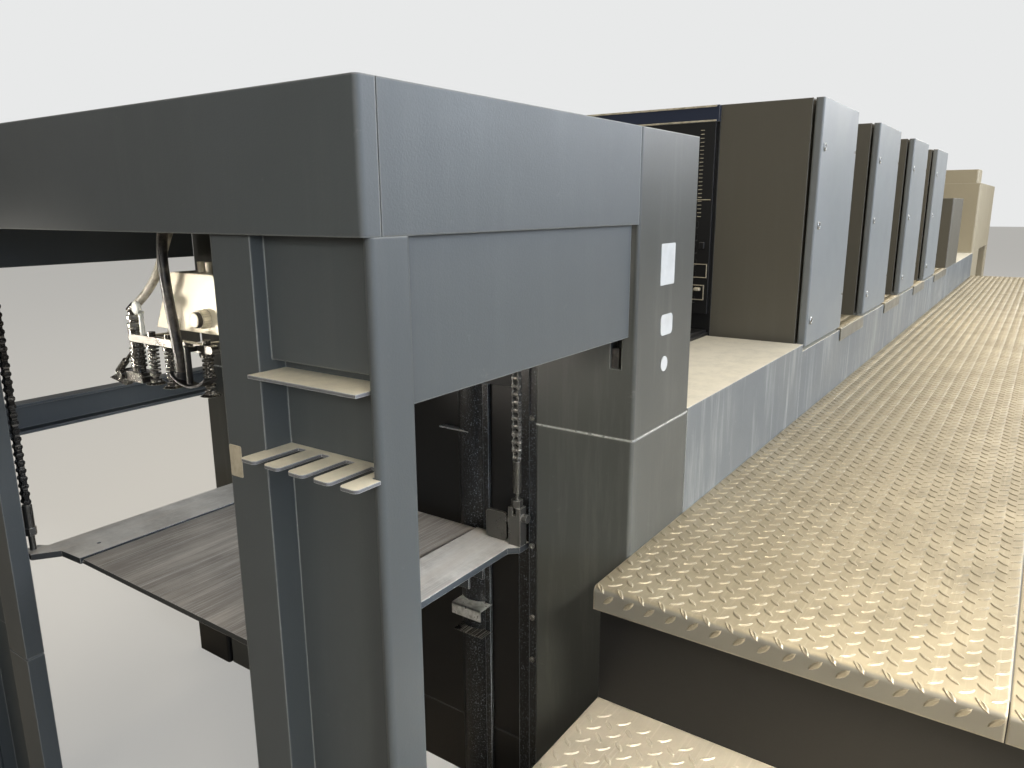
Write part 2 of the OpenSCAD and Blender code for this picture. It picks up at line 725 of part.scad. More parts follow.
// Bar across the suckers, on arms from two brackets under the housing
module sucker_bar() color(steel) place() {
    x0 = sucker_x - bar_h / 2;
    translate([x0, -bar_half, bar_z]) rotate([90, 0, 90])
        linear_extrude(bar_h) rounded(2 * bar_half, bar_h, bar_h / 2 - 1);
    for (y = [-95, 95]) {
        block([head_x, head_x + 60], [y - 12, y + 12], [bar_z - 14, head_z]);
        for (z = [bar_z - 6, bar_z + 11]) bar_x(sucker_x, head_x + 1, y, z, 9);
    }
}

// Spring, stem and flared foot of one sucker, from the foot's underside up into the bar
module sucker(y) translate([sucker_x, y, 0]) {
    translate([0, 0, sucker_z]) cylinder(d1 = sucker_d, d2 = sucker_d - 12, h = 4);
    translate([0, 0, sucker_z + 4]) cylinder(d = sucker_d - 18, h = 7);
    translate([0, 0, sucker_z + 11]) cylinder(d = spring_d / 2, h = bar_z - sucker_z - 11);
    for (z = [sucker_z + 20:8:bar_z - 12]) translate([0, 0, z]) cylinder(d = spring_d, h = 3.5);
    translate([0, 0, bar_z - 8]) cylinder(d = spring_d + 4, h = 8 - seat_gap);
    translate([0, 0, bar_z + bar_h]) cylinder(d = spring_d / 2 + 5, h = 9);
}

// Four sprung suckers, and the outer one on the operator side with its casting, lever and hose gland
module suckers() color(black_paint) place() {
    for (y = sucker_places) sucker(y);
    y = outer_place;
    top = bar_z + bar_h;
    block([sucker_x - 17, sucker_x + 17], [y - 36, y + 38], [sucker_z, sucker_z + 21]);
    translate([sucker_x, y, sucker_z + 21]) cylinder(d = 26, h = bar_z - sucker_z - 21);
    for (z = [sucker_z + 30:9:bar_z - 10]) translate([sucker_x, y, z]) cylinder(d = 32, h = 4);
    translate([sucker_x, y, top]) cylinder(d = 28, h = 12);
    translate([sucker_x, y, top + 12]) cylinder(d = 21, h = sucker_hose_route[0][2] - top - 20);
    along = unit(sucker_hose_route[1] - sucker_hose_route[0]);
    gland(sucker_hose_route[0] - seat_gap * along, along, sucker_hose_d + 4, 18);
    bar_x(sucker_x - 26, sucker_x, y + 38, sucker_z + 12, 20);
    translate([sucker_x - 6, y, sucker_z]) rotate([90, 0, 90]) linear_extrude(12)
        polygon([[116, -7], [44, 22], [20, 18], [20, 4], [52, -17]]);
    translate([sucker_x, y + 2, bar_z - 9]) rotate([-128, 0, 0]) {
        cylinder(d = 7, h = 62);
        translate([0, 0, 62]) cylinder(d = 15, h = 44);
    }
}

// Curved plate that rests on the pile, under a bent stem, with the gland of its air hose
module presser_foot() color(black_paint) place() {
    y = -105;
    t = 4;
    low = sucker_z + 21;
    entry = foot_hose_route[0];
    translate([sucker_x - 41, y, low + presser_r]) rotate([90, 0, 90]) linear_extrude(28) intersection() {
        difference() {
            circle(presser_r);
            circle(presser_r - t);
        }
        translate([-57, -presser_r - 1]) square([114, presser_r / 2]);
    }
    translate([sucker_x - 27, 10 + y, low + t / 2]) cylinder(d = 12, h = bar_z + bar_h - low - t / 2);
    bar_x(sucker_x - 27, sucker_x - bar_h / 2, 10 + y, bar_z + bar_h / 2, 11);
    translate([entry[0], entry[1], low + 8])
        cylinder(d = foot_hose_d + 6, h = entry[2] - low - 8);
}

// Air hose from the presser foot to the manifold
module foot_hose() color(black_paint) place() hose(foot_hose_route, foot_hose_d);

// Air hose from the outer sucker to the manifold
module sucker_hose() color(cream) place() hose(sucker_hose_route, sucker_hose_d);

// Board that slopes from the pile down to the first unit, between its cheeks
module feed_table() color(dark_grey) place() {
    x0 = wall_x + wall_t;
    x1 = first_unit_x - guard_t - 1;
    y = frame_half - sheet;
    side_profile([-y, y],
        [[x0, board_high - board_t], [x1, board_low - board_t], [x1, board_low], [x0, board_high]]);
    both_sides() side_profile([-frame_half, -y], [[front_col_end, cheek_z], [x1, cheek_z],
        [x1, board_low - 10], [front_col_end + cheek_flat, ledge_top + 10],
        [front_col_end, ledge_top + 10]]);
}

// Low walls beside the feed table
module ledges() color(anthracite) place() both_sides()
    block([front_col_end, plinth_start], [-half_width, -frame_half], [0, ledge_top]);

// Plinths under the cabinets, from the ledges to the delivery
module plinths() color(anthracite) place() both_sides()
    block([plinth_start, delivery_x], [-half_width, -frame_half], [0, plinth_top]);

// Tread plates on the plinths between the cabinets
module unit_steps() color(tread_grey) place() both_sides() for (i = [0:3]) {
    x0 = first_unit_x + i * unit_pitch + cabinet_len + 2;
    x1 = i == 3 ? low_cab_x - 2 : x0 + unit_pitch - cabinet_len - 4;
    block([x0, x1], [-half_width - tread_t, -frame_half - 2], [plinth_top, plinth_top + tread_t]);
    block([x0, x1], [-half_width - tread_t, -half_width - seat_gap],
          [plinth_top - step_fold, plinth_top + tread_t]);
}

// A printing unit between its side frames, with the round housing of its ink rollers
module unit_body(i) color(dark_grey) place() translate([first_unit_x + i * unit_pitch, 0, 0]) {
    side_profile([-frame_half, frame_half], [[0, 0], [unit_pitch, 0], [unit_pitch, plinth_top + 70],
        [cabinet_len + cover_r, plinth_top + saddle_rise], [cabinet_len + cover_r / 2, cover_z - 180],
        [cabinet_len + 20, cover_z + cover_r - 10], [cabinet_len - 70, unit_top], [0, unit_top]]);
    translate([cabinet_len - 30, 0, cover_z]) rotate([90, 0, 0])
        cylinder(r = cover_r, h = 2 * (frame_half - sheet), center = true);
}

// Black louvred guards on the upstream face of each unit, with the bars that lift them
module unit_guards() color(black_paint) place() for (i = [0:3])
    translate([first_unit_x + i * unit_pitch - guard_t, 0, 0]) {
        z0 = board_high + 20;
        y = frame_half - 10;
        difference() {
            block([0, guard_t], [-y, y], [z0, beam_z]);
            for (z = [z0 + 40:louvre_pitch:beam_z - 70])
                block([-1, 6], [50 - y, y - 50], [z, z + louvre_pitch / 2]);
        }
        translate([-34, 0, z0 + 26]) rotate([90, 0, 0]) cylinder(d = grip_d, h = y, center = true);
        for (s = [-1, 1]) bar_x(-34, 1, s * (y / 2 - 20), z0 + 26, grip_d / 2);
    }

// Navy cross beams over the guards
module unit_beams() color(navy) place() for (i = [0:3])
    translate([first_unit_x + i * unit_pitch - guard_t, 0, 0])
        block([0, guard_t], [-frame_half, frame_half], [beam_z, cabinet_top]);

// Cabinet body on the drive side, with ears and pins for its door
module drive_cabinet(i) color(anthracite) place() translate([first_unit_x + i * unit_pitch, 0, 0]) {
    block([0, cabinet_len], [-cabinet_y, -frame_half], [cabinet_z, cabinet_top]);
    for (z = hinge_heights) door_hinge(z);
}

// An ear from the cabinet with a pin that stands out above and below it
module door_hinge(z) {
    block([cabinet_len - hinge_in - hinge_d, cabinet_len], [hinge_y - hinge_d, -cabinet_y + 1],
          [z - 5, z + 5]);
    translate([cabinet_len - hinge_in, hinge_y, z - 22]) cylinder(d = hinge_d, h = 44);
}
hinge_in = 10;
hinge_y = hinge_in - half_width;
hinge_heights = [cabinet_z + 150, cabinet_top - 150];

// Door that wraps the cabinet's drive side, cut away round its hinges, with three round locks
module drive_door(i) color(anthracite) place() translate([first_unit_x + i * unit_pitch, 0, 0]) {
    z0 = cabinet_z + tread_t + door_gap;
    difference() {
        post([0, cabinet_len], [-half_width, door_t - half_width], [z0, cabinet_top], corner_r);
        for (z = hinge_heights) {
            block([cabinet_len - hinge_in - hinge_d - 14, cabinet_len + 1],
                  [-half_width - 1, door_t + 1 - half_width], [z - 6, z + 6]);
            translate([cabinet_len - hinge_in, hinge_y, z - 24]) cylinder(d = hinge_d + 0.1, h = 48);
        }
    }
    for (z = [z0 + 87, (z0 + cabinet_top) / 2, cabinet_top - 157])
        translate([lock_x, 1 - half_width, z]) rotate([90, 0, 0]) cylinder(d = lock_d, h = 4);
}

// Cabinets on the operator side, each with the seam of its cover
module operator_cabinets() color(anthracite) place() for (i = [0:3])
    translate([first_unit_x + i * unit_pitch, 0, 0]) difference() {
        post([0, cabinet_len], [frame_half, half_width], [cabinet_z, cabinet_top], corner_r);
        block([-1, cabinet_len + 1], [half_width - door_t - seam, half_width - door_t],
              [cabinet_z + 20, cabinet_top + 1]);
    }

// Low cabinets after the last unit
module low_cabinets() color(anthracite) place() both_sides()
    post([low_cab_x, low_cab_x + low_cab_len], [-half_width, -frame_half],
         [plinth_top, low_cab_top], corner_r);

// Covered sheet path from the last unit up to the delivery, with a seam between its covers
module delivery_extension() color(dark_grey) place() difference() {
    side_profile([-frame_half, frame_half], [[units_end, 0], [delivery_x, 0], [delivery_x, extension_top],
        [delivery_x - cover_run, extension_top - 50], [units_end + cover_run, extension_low],
        [units_end, plinth_top + 70]]);
    for (x = [units_end + cover_run:cover_pitch:delivery_x - cover_pitch])
        block([x, x + 2 * seam], [-frame_half - 1, frame_half + 1], [extension_low - 30, extension_top]);
}

// Base of the delivery in front of its pile bay, with a louvred panel low on each side
module delivery_base() color(beige) place() difference() {
    post([delivery_x, delivery_x + delivery_base_len], [-half_width, half_width],
         [0, delivery_under], delivery_r);
    both_sides() for (z = [160:22:400])
        block([delivery_x + 150, delivery_x + 450], [-half_width - 1, sheet - half_width], [z, z + 11]);
}

// Upper housing of the delivery over its pile bay, with the seams of its side covers
module delivery_housing() color(beige) place() difference() {
    post([delivery_x, delivery_end], [-half_width, half_width],
         [delivery_under, delivery_top], delivery_r);
    for (x = [delivery_x + delivery_base_len, delivery_end - delivery_base_len])
        both_sides() block([x, x + 2 * seam], [-half_width - 1, 2 * seam - half_width],
            [delivery_under - 1, delivery_top + 1]);
}

// Box across the top of the delivery
module delivery_top_box() color(beige) place() {
    y = half_width - delivery_r - sheet;
    post([delivery_x, delivery_x + top_box_len], [-y, y],
         [delivery_top, delivery_top + top_box_h], delivery_r);
}

// Posts under the far end of the delivery
module delivery_posts() color(beige) place() both_sides()
    post([delivery_end - delivery_post, delivery_end], [-half_width, delivery_post - half_width],
         [0, delivery_under], delivery_r);

// Tread plate from x0 to x1 over the range y, its top at z, with the front edge folded down round a bend
module tread_row(x0, x1, y, z) translate([0, y[1], 0]) rotate([90, 0, 0]) linear_extrude(y[1] - y[0]) {
    translate([x0 + nosing_r, z - tread_t]) square([x1 - x0 - nosing_r, tread_t]);
    translate([x0, z - nosing]) square([tread_t, nosing - nosing_r]);
    intersection() {
        translate([x0 + nosing_r, z - nosing_r]) difference() {
            circle(nosing_r);
            circle(nosing_r - tread_t);
        }
        translate([x0, z - nosing_r]) square(nosing_r);
    }
}

// Inner row of tread plate on the drive side
module drive_deck() color(tread_grey) place()
    tread_row(deck_x, deck_end, [-half_width - deck_inner_w, -half_width], deck_z);

// Outer row of tread plate on the drive side
module drive_deck_edge() color(tread_grey) place()
    tread_row(deck_x, deck_end, [-half_width - deck_w, -half_width - deck_inner_w - seam], deck_z);

// Tread plate on the operator side
module operator_deck() color(tread_grey) place()
    tread_row(operator_deck_x, deck_end, [half_width, half_width + deck_w], deck_z);

// Dark panels round a gallery and the bearers between them
module deck_frame(x0) {
    z = deck_z - tread_t;
    y0 = half_width;
    y1 = half_width + deck_w;
    block([x0 + overhang, x0 + overhang + panel_t], [y0, y1], [0, z]);
    block([x0 + overhang, deck_end], [y1 - panel_t, y1], [0, z]);
    block([deck_end - panel_t, deck_end], [y0, y1], [0, z]);
    for (i = [1:7]) {
        x = x0 + overhang + i * (deck_end - x0 - overhang) / 8;
        block([x - 30, x + 30], [y0, y1 - 1], [z - 80, z]);
    }
}

// Frame of the drive-side gallery
module drive_deck_frame() color(black_paint) place() mirror([0, 1, 0]) deck_frame(deck_x);

// Frame of the operator-side gallery
module operator_deck_frame() color(black_paint) place() deck_frame(operator_deck_x);

// Top of the step i below a gallery
function step_z(i) = deck_z - i * step_rise;

// Treads of one flight of two steps, drawn for the operator side
module flight(x_top)
    for (i = [1:2]) {
        x0 = x_top - i * step_depth;
        tread_row(x0, x0 + step_depth + overhang, [half_width, half_width + deck_w], step_z(i));
    }

// Treads on the drive side
module drive_steps() color(tread_grey) place() mirror([0, 1, 0]) flight(deck_x);

// Treads on the operator side
module operator_steps() color(tread_grey) place() flight(operator_deck_x);

// Closed boxes under the treads of both flights, and the low box beside the feeder
module step_boxes() color(black_paint) place() {
    for (i = [1:2]) {
        z = step_z(i) - tread_t;
        y = [half_width, half_width + deck_w];
        mirror([0, 1, 0]) block([deck_x + overhang - i * step_depth, deck_x + overhang], y, [0, z]);
        block([operator_deck_x + overhang - i * step_depth, operator_deck_x + overhang], y, [0, z]);
    }
    post([front_col_x - 12, front_col_end], [half_width, half_width + low_box_w],
         [0, low_box_h], corner_r);
}

hood_fascia();
hood_sides();
hood_top();
feeder_bridge();
side_panels();
operator_rail();
tool_column();
operator_column();
column_bases();
tool_shelf();
tool_rack();
front_columns();
front_column_bases();
pile_front_wall();
pile_guides();
hoist_shafts();
lift_chains();
front_lift_chains();
pile_plate();
lift_lugs();
suction_head();
head_rails();
sucker_bar();
suckers();
presser_foot();
foot_hose();
sucker_hose();
feed_table();
ledges();
plinths();
unit_steps();
unit_body(0);  // unit_body_1
unit_body(1);  // unit_body_2
unit_body(2);  // unit_body_3
unit_body(3);  // unit_body_4
unit_guards();
unit_beams();
drive_cabinet(0);  // drive_cabinet_1
drive_cabinet(1);  // drive_cabinet_2
drive_cabinet(2);  // drive_cabinet_3
drive_cabinet(3);  // drive_cabinet_4
drive_door(0);  // drive_door_1
drive_door(1);  // drive_door_2
drive_door(2);  // drive_door_3
drive_door(3);  // drive_door_4
operator_cabinets();
low_cabinets();
delivery_extension();
delivery_base();
delivery_housing();
delivery_top_box();
delivery_posts();
drive_deck();
drive_deck_edge();
drive_deck_frame();
operator_deck();
operator_deck_frame();
drive_steps();
operator_steps();
step_boxes();
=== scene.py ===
# Four-unit sheet-fed offset press: finishes and fine pieces over its solids, in metres.
import math

import bmesh
import bpy
from mathutils import Euler, Matrix, Vector


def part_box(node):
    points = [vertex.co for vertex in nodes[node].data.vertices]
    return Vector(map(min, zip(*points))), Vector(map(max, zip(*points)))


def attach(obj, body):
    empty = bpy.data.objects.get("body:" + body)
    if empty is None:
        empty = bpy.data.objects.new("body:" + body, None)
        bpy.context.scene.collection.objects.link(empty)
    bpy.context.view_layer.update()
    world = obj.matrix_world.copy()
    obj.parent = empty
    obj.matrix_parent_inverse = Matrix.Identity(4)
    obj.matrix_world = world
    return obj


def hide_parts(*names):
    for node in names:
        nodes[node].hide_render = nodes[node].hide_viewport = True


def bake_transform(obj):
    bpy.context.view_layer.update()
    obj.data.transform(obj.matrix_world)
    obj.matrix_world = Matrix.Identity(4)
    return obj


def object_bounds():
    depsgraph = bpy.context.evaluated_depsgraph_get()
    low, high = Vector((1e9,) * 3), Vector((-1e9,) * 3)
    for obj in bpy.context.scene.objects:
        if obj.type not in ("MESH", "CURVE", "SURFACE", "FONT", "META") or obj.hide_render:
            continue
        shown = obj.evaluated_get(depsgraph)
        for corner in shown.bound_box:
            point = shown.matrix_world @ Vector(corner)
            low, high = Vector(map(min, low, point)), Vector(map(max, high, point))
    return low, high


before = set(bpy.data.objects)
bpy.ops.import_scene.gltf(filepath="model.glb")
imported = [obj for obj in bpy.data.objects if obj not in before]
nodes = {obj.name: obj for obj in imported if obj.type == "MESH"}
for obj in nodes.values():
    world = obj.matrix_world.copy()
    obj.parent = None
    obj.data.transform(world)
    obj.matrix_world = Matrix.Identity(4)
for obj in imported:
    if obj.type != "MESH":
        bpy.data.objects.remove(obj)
cad_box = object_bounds()
rack_reach = 0.033                       # the comb's tips stand this far behind the feeder hood
hood_x = cad_box[0][0] + rack_reach      # rear face of the feeder hood

# Camera
# A hand-held wide lens at 1.55 m, behind the feeder on the drive side, looking along the press
# and a little down.
camera_turn, camera_down, camera_lean = 34.82, 13.03, -0.29      # degrees
camera_data = bpy.data.cameras.new("camera")
camera_data.sensor_width = 36
camera_data.lens = 26.89
camera = bpy.data.objects.new("camera", camera_data)
camera.location = (hood_x - 0.657, -1.426, 1.55)
look = Euler((math.radians(90 - camera_down), 0, math.radians(camera_turn - 90))).to_matrix()
camera.rotation_euler = (look @ Matrix.Rotation(math.radians(camera_lean), 3, "Z")).to_euler()
bpy.context.scene.collection.objects.link(camera)
bpy.context.scene.camera = camera
bpy.context.scene.view_settings.view_transform = "Standard"


# Air hoses of the suction head
# Smooth black rubber to the presser foot and greyed white PVC to the outer sucker, pushed on
# ribbed glands and led up to the manifold under the hood. They follow the routes of their solids.
def linear(hex_colour):
    """The linear colour of an sRGB hex value."""
    parts = [int(hex_colour[i:i + 2], 16) / 255 for i in (1, 3, 5)]
    return [c / 12.92 if c <= 0.04045 else ((c + 0.055) / 1.055) ** 2.4 for c in parts] + [1]


def add(tree, kind, settings=None, **sockets):
    """A node with its settings, its sockets set to values or linked to other nodes' outputs."""
    n = tree.nodes.new("ShaderNode" + kind)
    for key, value in (settings or {}).items():
        setattr(n, key, value)
    for key, value in sockets.items():
        numbered = key[0] == "i" and key[1:].isdigit()
        socket = n.inputs[int(key[1:])] if numbered else n.inputs[key.replace("_", " ")]
        if isinstance(value, bpy.types.NodeSocket):
            tree.links.new(value, socket)
        else:
            socket.default_value = value
    return n


def new_material(name):
    """A material with its node tree and its shader."""
    m = bpy.data.materials.new(name)
    m.use_nodes = True
    return m, m.node_tree, m.node_tree.nodes["Principled BSDF"]


def moulded(name, colour, grime, rough, grime_mm=25.0):
    """Rubber, plastic or dull anodised metal with a soft sheen, grimy in patches grime_mm wide."""
    m, t, bsdf = new_material(name)
    place = add(t, "TexCoord").outputs["Object"]
    patch = add(t, "TexNoise", Vector=place, Scale=1000 / grime_mm, Detail=5.0, Roughness=0.65)
    on = add(t, "MapRange", Value=patch.outputs["Fac"], i1=0.42, i2=0.68)
    tint = add(t, "Mix", {"data_type": "RGBA"}, i0=on.outputs[0], i6=linear(colour), i7=linear(grime))
    t.links.new(tint.outputs[2], bsdf.inputs["Base Color"])
    shine = add(t, "MapRange", Value=patch.outputs["Fac"], i1=0.3, i2=0.7, i3=rough - 0.08, i4=rough + 0.14)
    t.links.new(shine.outputs[0], bsdf.inputs["Roughness"])
    fine = add(t, "TexNoise", Vector=place, Scale=900.0, Detail=2.0)
    bump = add(t, "Bump", Height=fine.outputs["Fac"], Strength=0.1, Distance=0.0004)
    t.links.new(bump.outputs[0], bsdf.inputs["Normal"])
    return m


def dress(piece, material):
    """Gives a piece its material."""
    piece.data.materials.clear()
    piece.data.materials.append(material)
    return piece


def smooth_route(points, steps=4):
    """A curve through every point, with steps places from each to the next."""
    ends = [points[0]] + points + [points[-1]]
    route = []
    for a, b, c, d in zip(ends, ends[1:], ends[2:], ends[3:]):
        for k in range(steps):
            s = k / steps
            route.append(0.5 * (2 * b + (c - a) * s + (2 * a - 5 * b + 4 * c - d) * s ** 2
                                + (3 * b - a - 3 * c + d) * s ** 3))
    return route + [points[-1]]


def air_hose(name, node, route_mm, diameter, material):
    """A hose along places in mm from the hood's rear face."""
    route = smooth_route([Vector((hood_x + x / 1000, y / 1000, z / 1000)) for x, y, z in route_mm])
    curve = bpy.data.curves.new(name, "CURVE")
    curve.dimensions = "3D"
    curve.bevel_depth = 1.0              # each point gives the radius, so that the curve's box fits it
    curve.bevel_resolution = 4
    curve.use_fill_caps = True
    line = curve.splines.new("POLY")
    line.points.add(len(route) - 1)
    for point, place in zip(line.points, route):
        point.co = (*place, 1)
        point.radius = diameter / 2
    piece = bpy.data.objects.new(name, curve)
    bpy.context.scene.collection.objects.link(piece)
    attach(piece, "root")
    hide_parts(node)
    return dress(piece, material)


# Black rubber from the mould: a soft sheen with grey dust in patches.
hose_rubber = moulded("black hose rubber", "#1c1b1a", "#5d5850", 0.42)
# White PVC, extruded: a brighter sheen, yellowed and handled grey.
hose_vinyl = moulded("greyed PVC hose", "#b9b5a8", "#6f6a5e", 0.36)
air_hose("foot_hose_rubber", "foot_hose", [
    (174, -61, 1240), (174, -61, 1262), (174, -56, 1300), (174, -49, 1345), (174, -42, 1395),
    (175, -36, 1440), (180, -31, 1482), (192, -26, 1522), (214, -22, 1555), (244, -19, 1579),
    (280, -18, 1594), (320, -18, 1600), (360, -18, 1600)], 0.020, hose_rubber)
air_hose("sucker_hose_vinyl", "sucker_hose", [
    (199, 122, 1354), (204, 106, 1368), (210, 88, 1386), (217, 68, 1412), (223, 55, 1440), (230, 47, 1470),
    (240, 41, 1502), (256, 35, 1534), (280, 28, 1563), (306, 22, 1588), (332, 20, 1600), (360, 20, 1600)],
    0.017, hose_vinyl)


# Floor and light
# A pale sealed floor and white surroundings. Wide soft boxes on the drive side give cool light, one
# overhead gives warmer light, and small panels behind the feeder light its bay and the steps.
def mesh_piece(name, points, faces, body="root"):
    """A mesh of points and faces that rides on a body."""
    mesh = bpy.data.meshes.new(name)
    mesh.from_pydata(points, [], faces)
    piece = bpy.data.objects.new(name, mesh)
    bpy.context.scene.collection.objects.link(piece)
    if body:
        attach(piece, body)
    return piece


floor_half = 60
corners = ((-1, -1), (1, -1), (1, 1), (-1, 1))
floor = mesh_piece("floor", [(x * floor_half, y * floor_half, 0) for x, y in corners], [(0, 1, 2, 3)],
                   body=None)
# Sealed concrete: near white and half glowing to the camera, so that it stays pale and keeps the
# shadow, and a warmer grey in what it throws back on the press.
seen_floor, lit_floor, floor_glow = "#d2d0ca", "#a39b8c", "#dbdad6"
glow_share = 0.5
floor_mat, t, bsdf = new_material("sealed floor")
bsdf.inputs["Roughness"].default_value = 0.6
path = add(t, "LightPath")
tone = add(t, "Mix", {"data_type": "RGBA"}, i0=path.outputs["Is Camera Ray"], i6=linear(lit_floor),
           i7=linear(seen_floor))
t.links.new(tone.outputs[2], bsdf.inputs["Base Color"])
glow = add(t, "Emission", Color=linear(floor_glow), Strength=1.0)
part = add(t, "Math", {"operation": "MULTIPLY"}, i0=path.outputs["Is Camera Ray"], i1=glow_share)
both = add(t, "MixShader", i0=part.outputs[0], i1=bsdf.outputs[0], i2=glow.outputs[0])
t.links.new(both.outputs[0], t.nodes["Material Output"].inputs["Surface"])
floor.data.materials.append(floor_mat)

# The surroundings are white to the camera, dim to the surfaces, and in mirrored rays they brighten
# from the floor upwards, so that upright faces shine less than those that look up.
world = bpy.data.worlds.new("studio")
world.use_nodes = True
bpy.context.scene.world = world
t = world.node_tree
t.nodes.clear()
path = add(t, "LightPath")
through = add(t, "Math", {"operation": "MAXIMUM"}, i0=path.outputs["Is Camera Ray"],
              i1=path.outputs["Is Transmission Ray"])
height = add(t, "SeparateXYZ", Vector=add(t, "TexCoord").outputs["Generated"]).outputs["Z"]
rise = add(t, "MapRange", Value=height, i1=-0.08, i2=0.4, i3=0.08, i4=0.42)
mirrored = add(t, "Math", {"operation": "MULTIPLY"}, i0=path.outputs["Is Glossy Ray"], i1=rise.outputs[0])
seen = add(t, "Math", {"operation": "MAXIMUM"}, i0=through.outputs[0], i1=mirrored.outputs[0])
room = add(t, "Background", Color=linear("#d5cfc6"), Strength=0.34)
white = add(t, "Background", Color=linear("#e8e9e9"), Strength=1.0)
mix = add(t, "MixShader", i0=seen.outputs[0], i1=room.outputs[0], i2=white.outputs[0])
add(t, "OutputWorld", Surface=mix.outputs[0])


def soft_box(name, place, aim, size, watts, colour, spread=180):
    """A rectangular lamp at place that faces aim, its light kept within spread degrees."""
    lamp = bpy.data.lights.new(name, "AREA")
    lamp.shape = "RECTANGLE"
    lamp.spread = math.radians(spread)
    lamp.size, lamp.size_y = size
    lamp.energy = watts
    lamp.color = linear(colour)[:3]
    ob = bpy.data.objects.new(name, lamp)
    ob.location = place
    ob.rotation_euler = (Vector(place) - Vector(aim)).to_track_quat("Z", "Y").to_euler()
    bpy.context.scene.collection.objects.link(ob)


soft_box("windows", (0.5, -9.5, 4.2), (-0.5, 0, 1.0), (14, 4), 1150, "#e6efff")
soft_box("ceiling", (0, -1.0, 6.5), (0, 0, 0), (14, 5), 560, "#fff1da")
soft_box("far_windows", (9.5, -3.0, 4.5), (2, -1, 0.8), (6, 3), 150, "#fff0d8")
soft_box("rear_windows", (hood_x - 2.6, -8.6, 2.4), (hood_x, -0.6, 1.2), (3.0, 2.0), 170, "#cfe2ff")
soft_box("rear_panel", (hood_x - 3.2, -2.2, 3.4), (hood_x + 0.6, -0.6, 0.8), (3, 1.6), 4, "#ffe9d2")
soft_box("bay_panel", (hood_x - 0.75, 0.95, 1.2), (hood_x + 0.25, 0.0, 1.33), (0.25, 0.2), 0.6,
         "#fff6ea", spread=22)
soft_box("plate_panel", (hood_x + 0.25, -3.0, 1.35), (hood_x + 0.46, -0.42, 0.80), (0.4, 0.3), 1.5,
         "#eef3fa", spread=14)
soft_box("high_windows", (hood_x + 8.5, -4.6, 3.6), (hood_x + 0.9, -0.755, 1.7), (4, 1.4), 170,
         "#dfe8f4")
soft_box("right_panel", (hood_x - 2.4, -1.9, 2.3), (hood_x, -0.6, 1.3), (0.8, 0.8), 5, "#f2ede6",
         spread=60)
soft_box("step_panel", (hood_x - 1.2, -3.6, 3.2), (hood_x + 0.75, -1.2, 0.45), (1.2, 0.8), 9,
         "#fff4e4", spread=26)
soft_box("step_lamp", (hood_x + 0.35, -2.3, 1.9), (hood_x + 0.55, -1.25, 0.42), (0.4, 0.3), 1.5,
         "#fff4e4", spread=26)
soft_box("gallery_strip", (hood_x + 5.0, -0.95, 3.3), (hood_x + 4.4, -1.1, 0), (4.5, 0.5), 31,
         "#fff1da", spread=120)


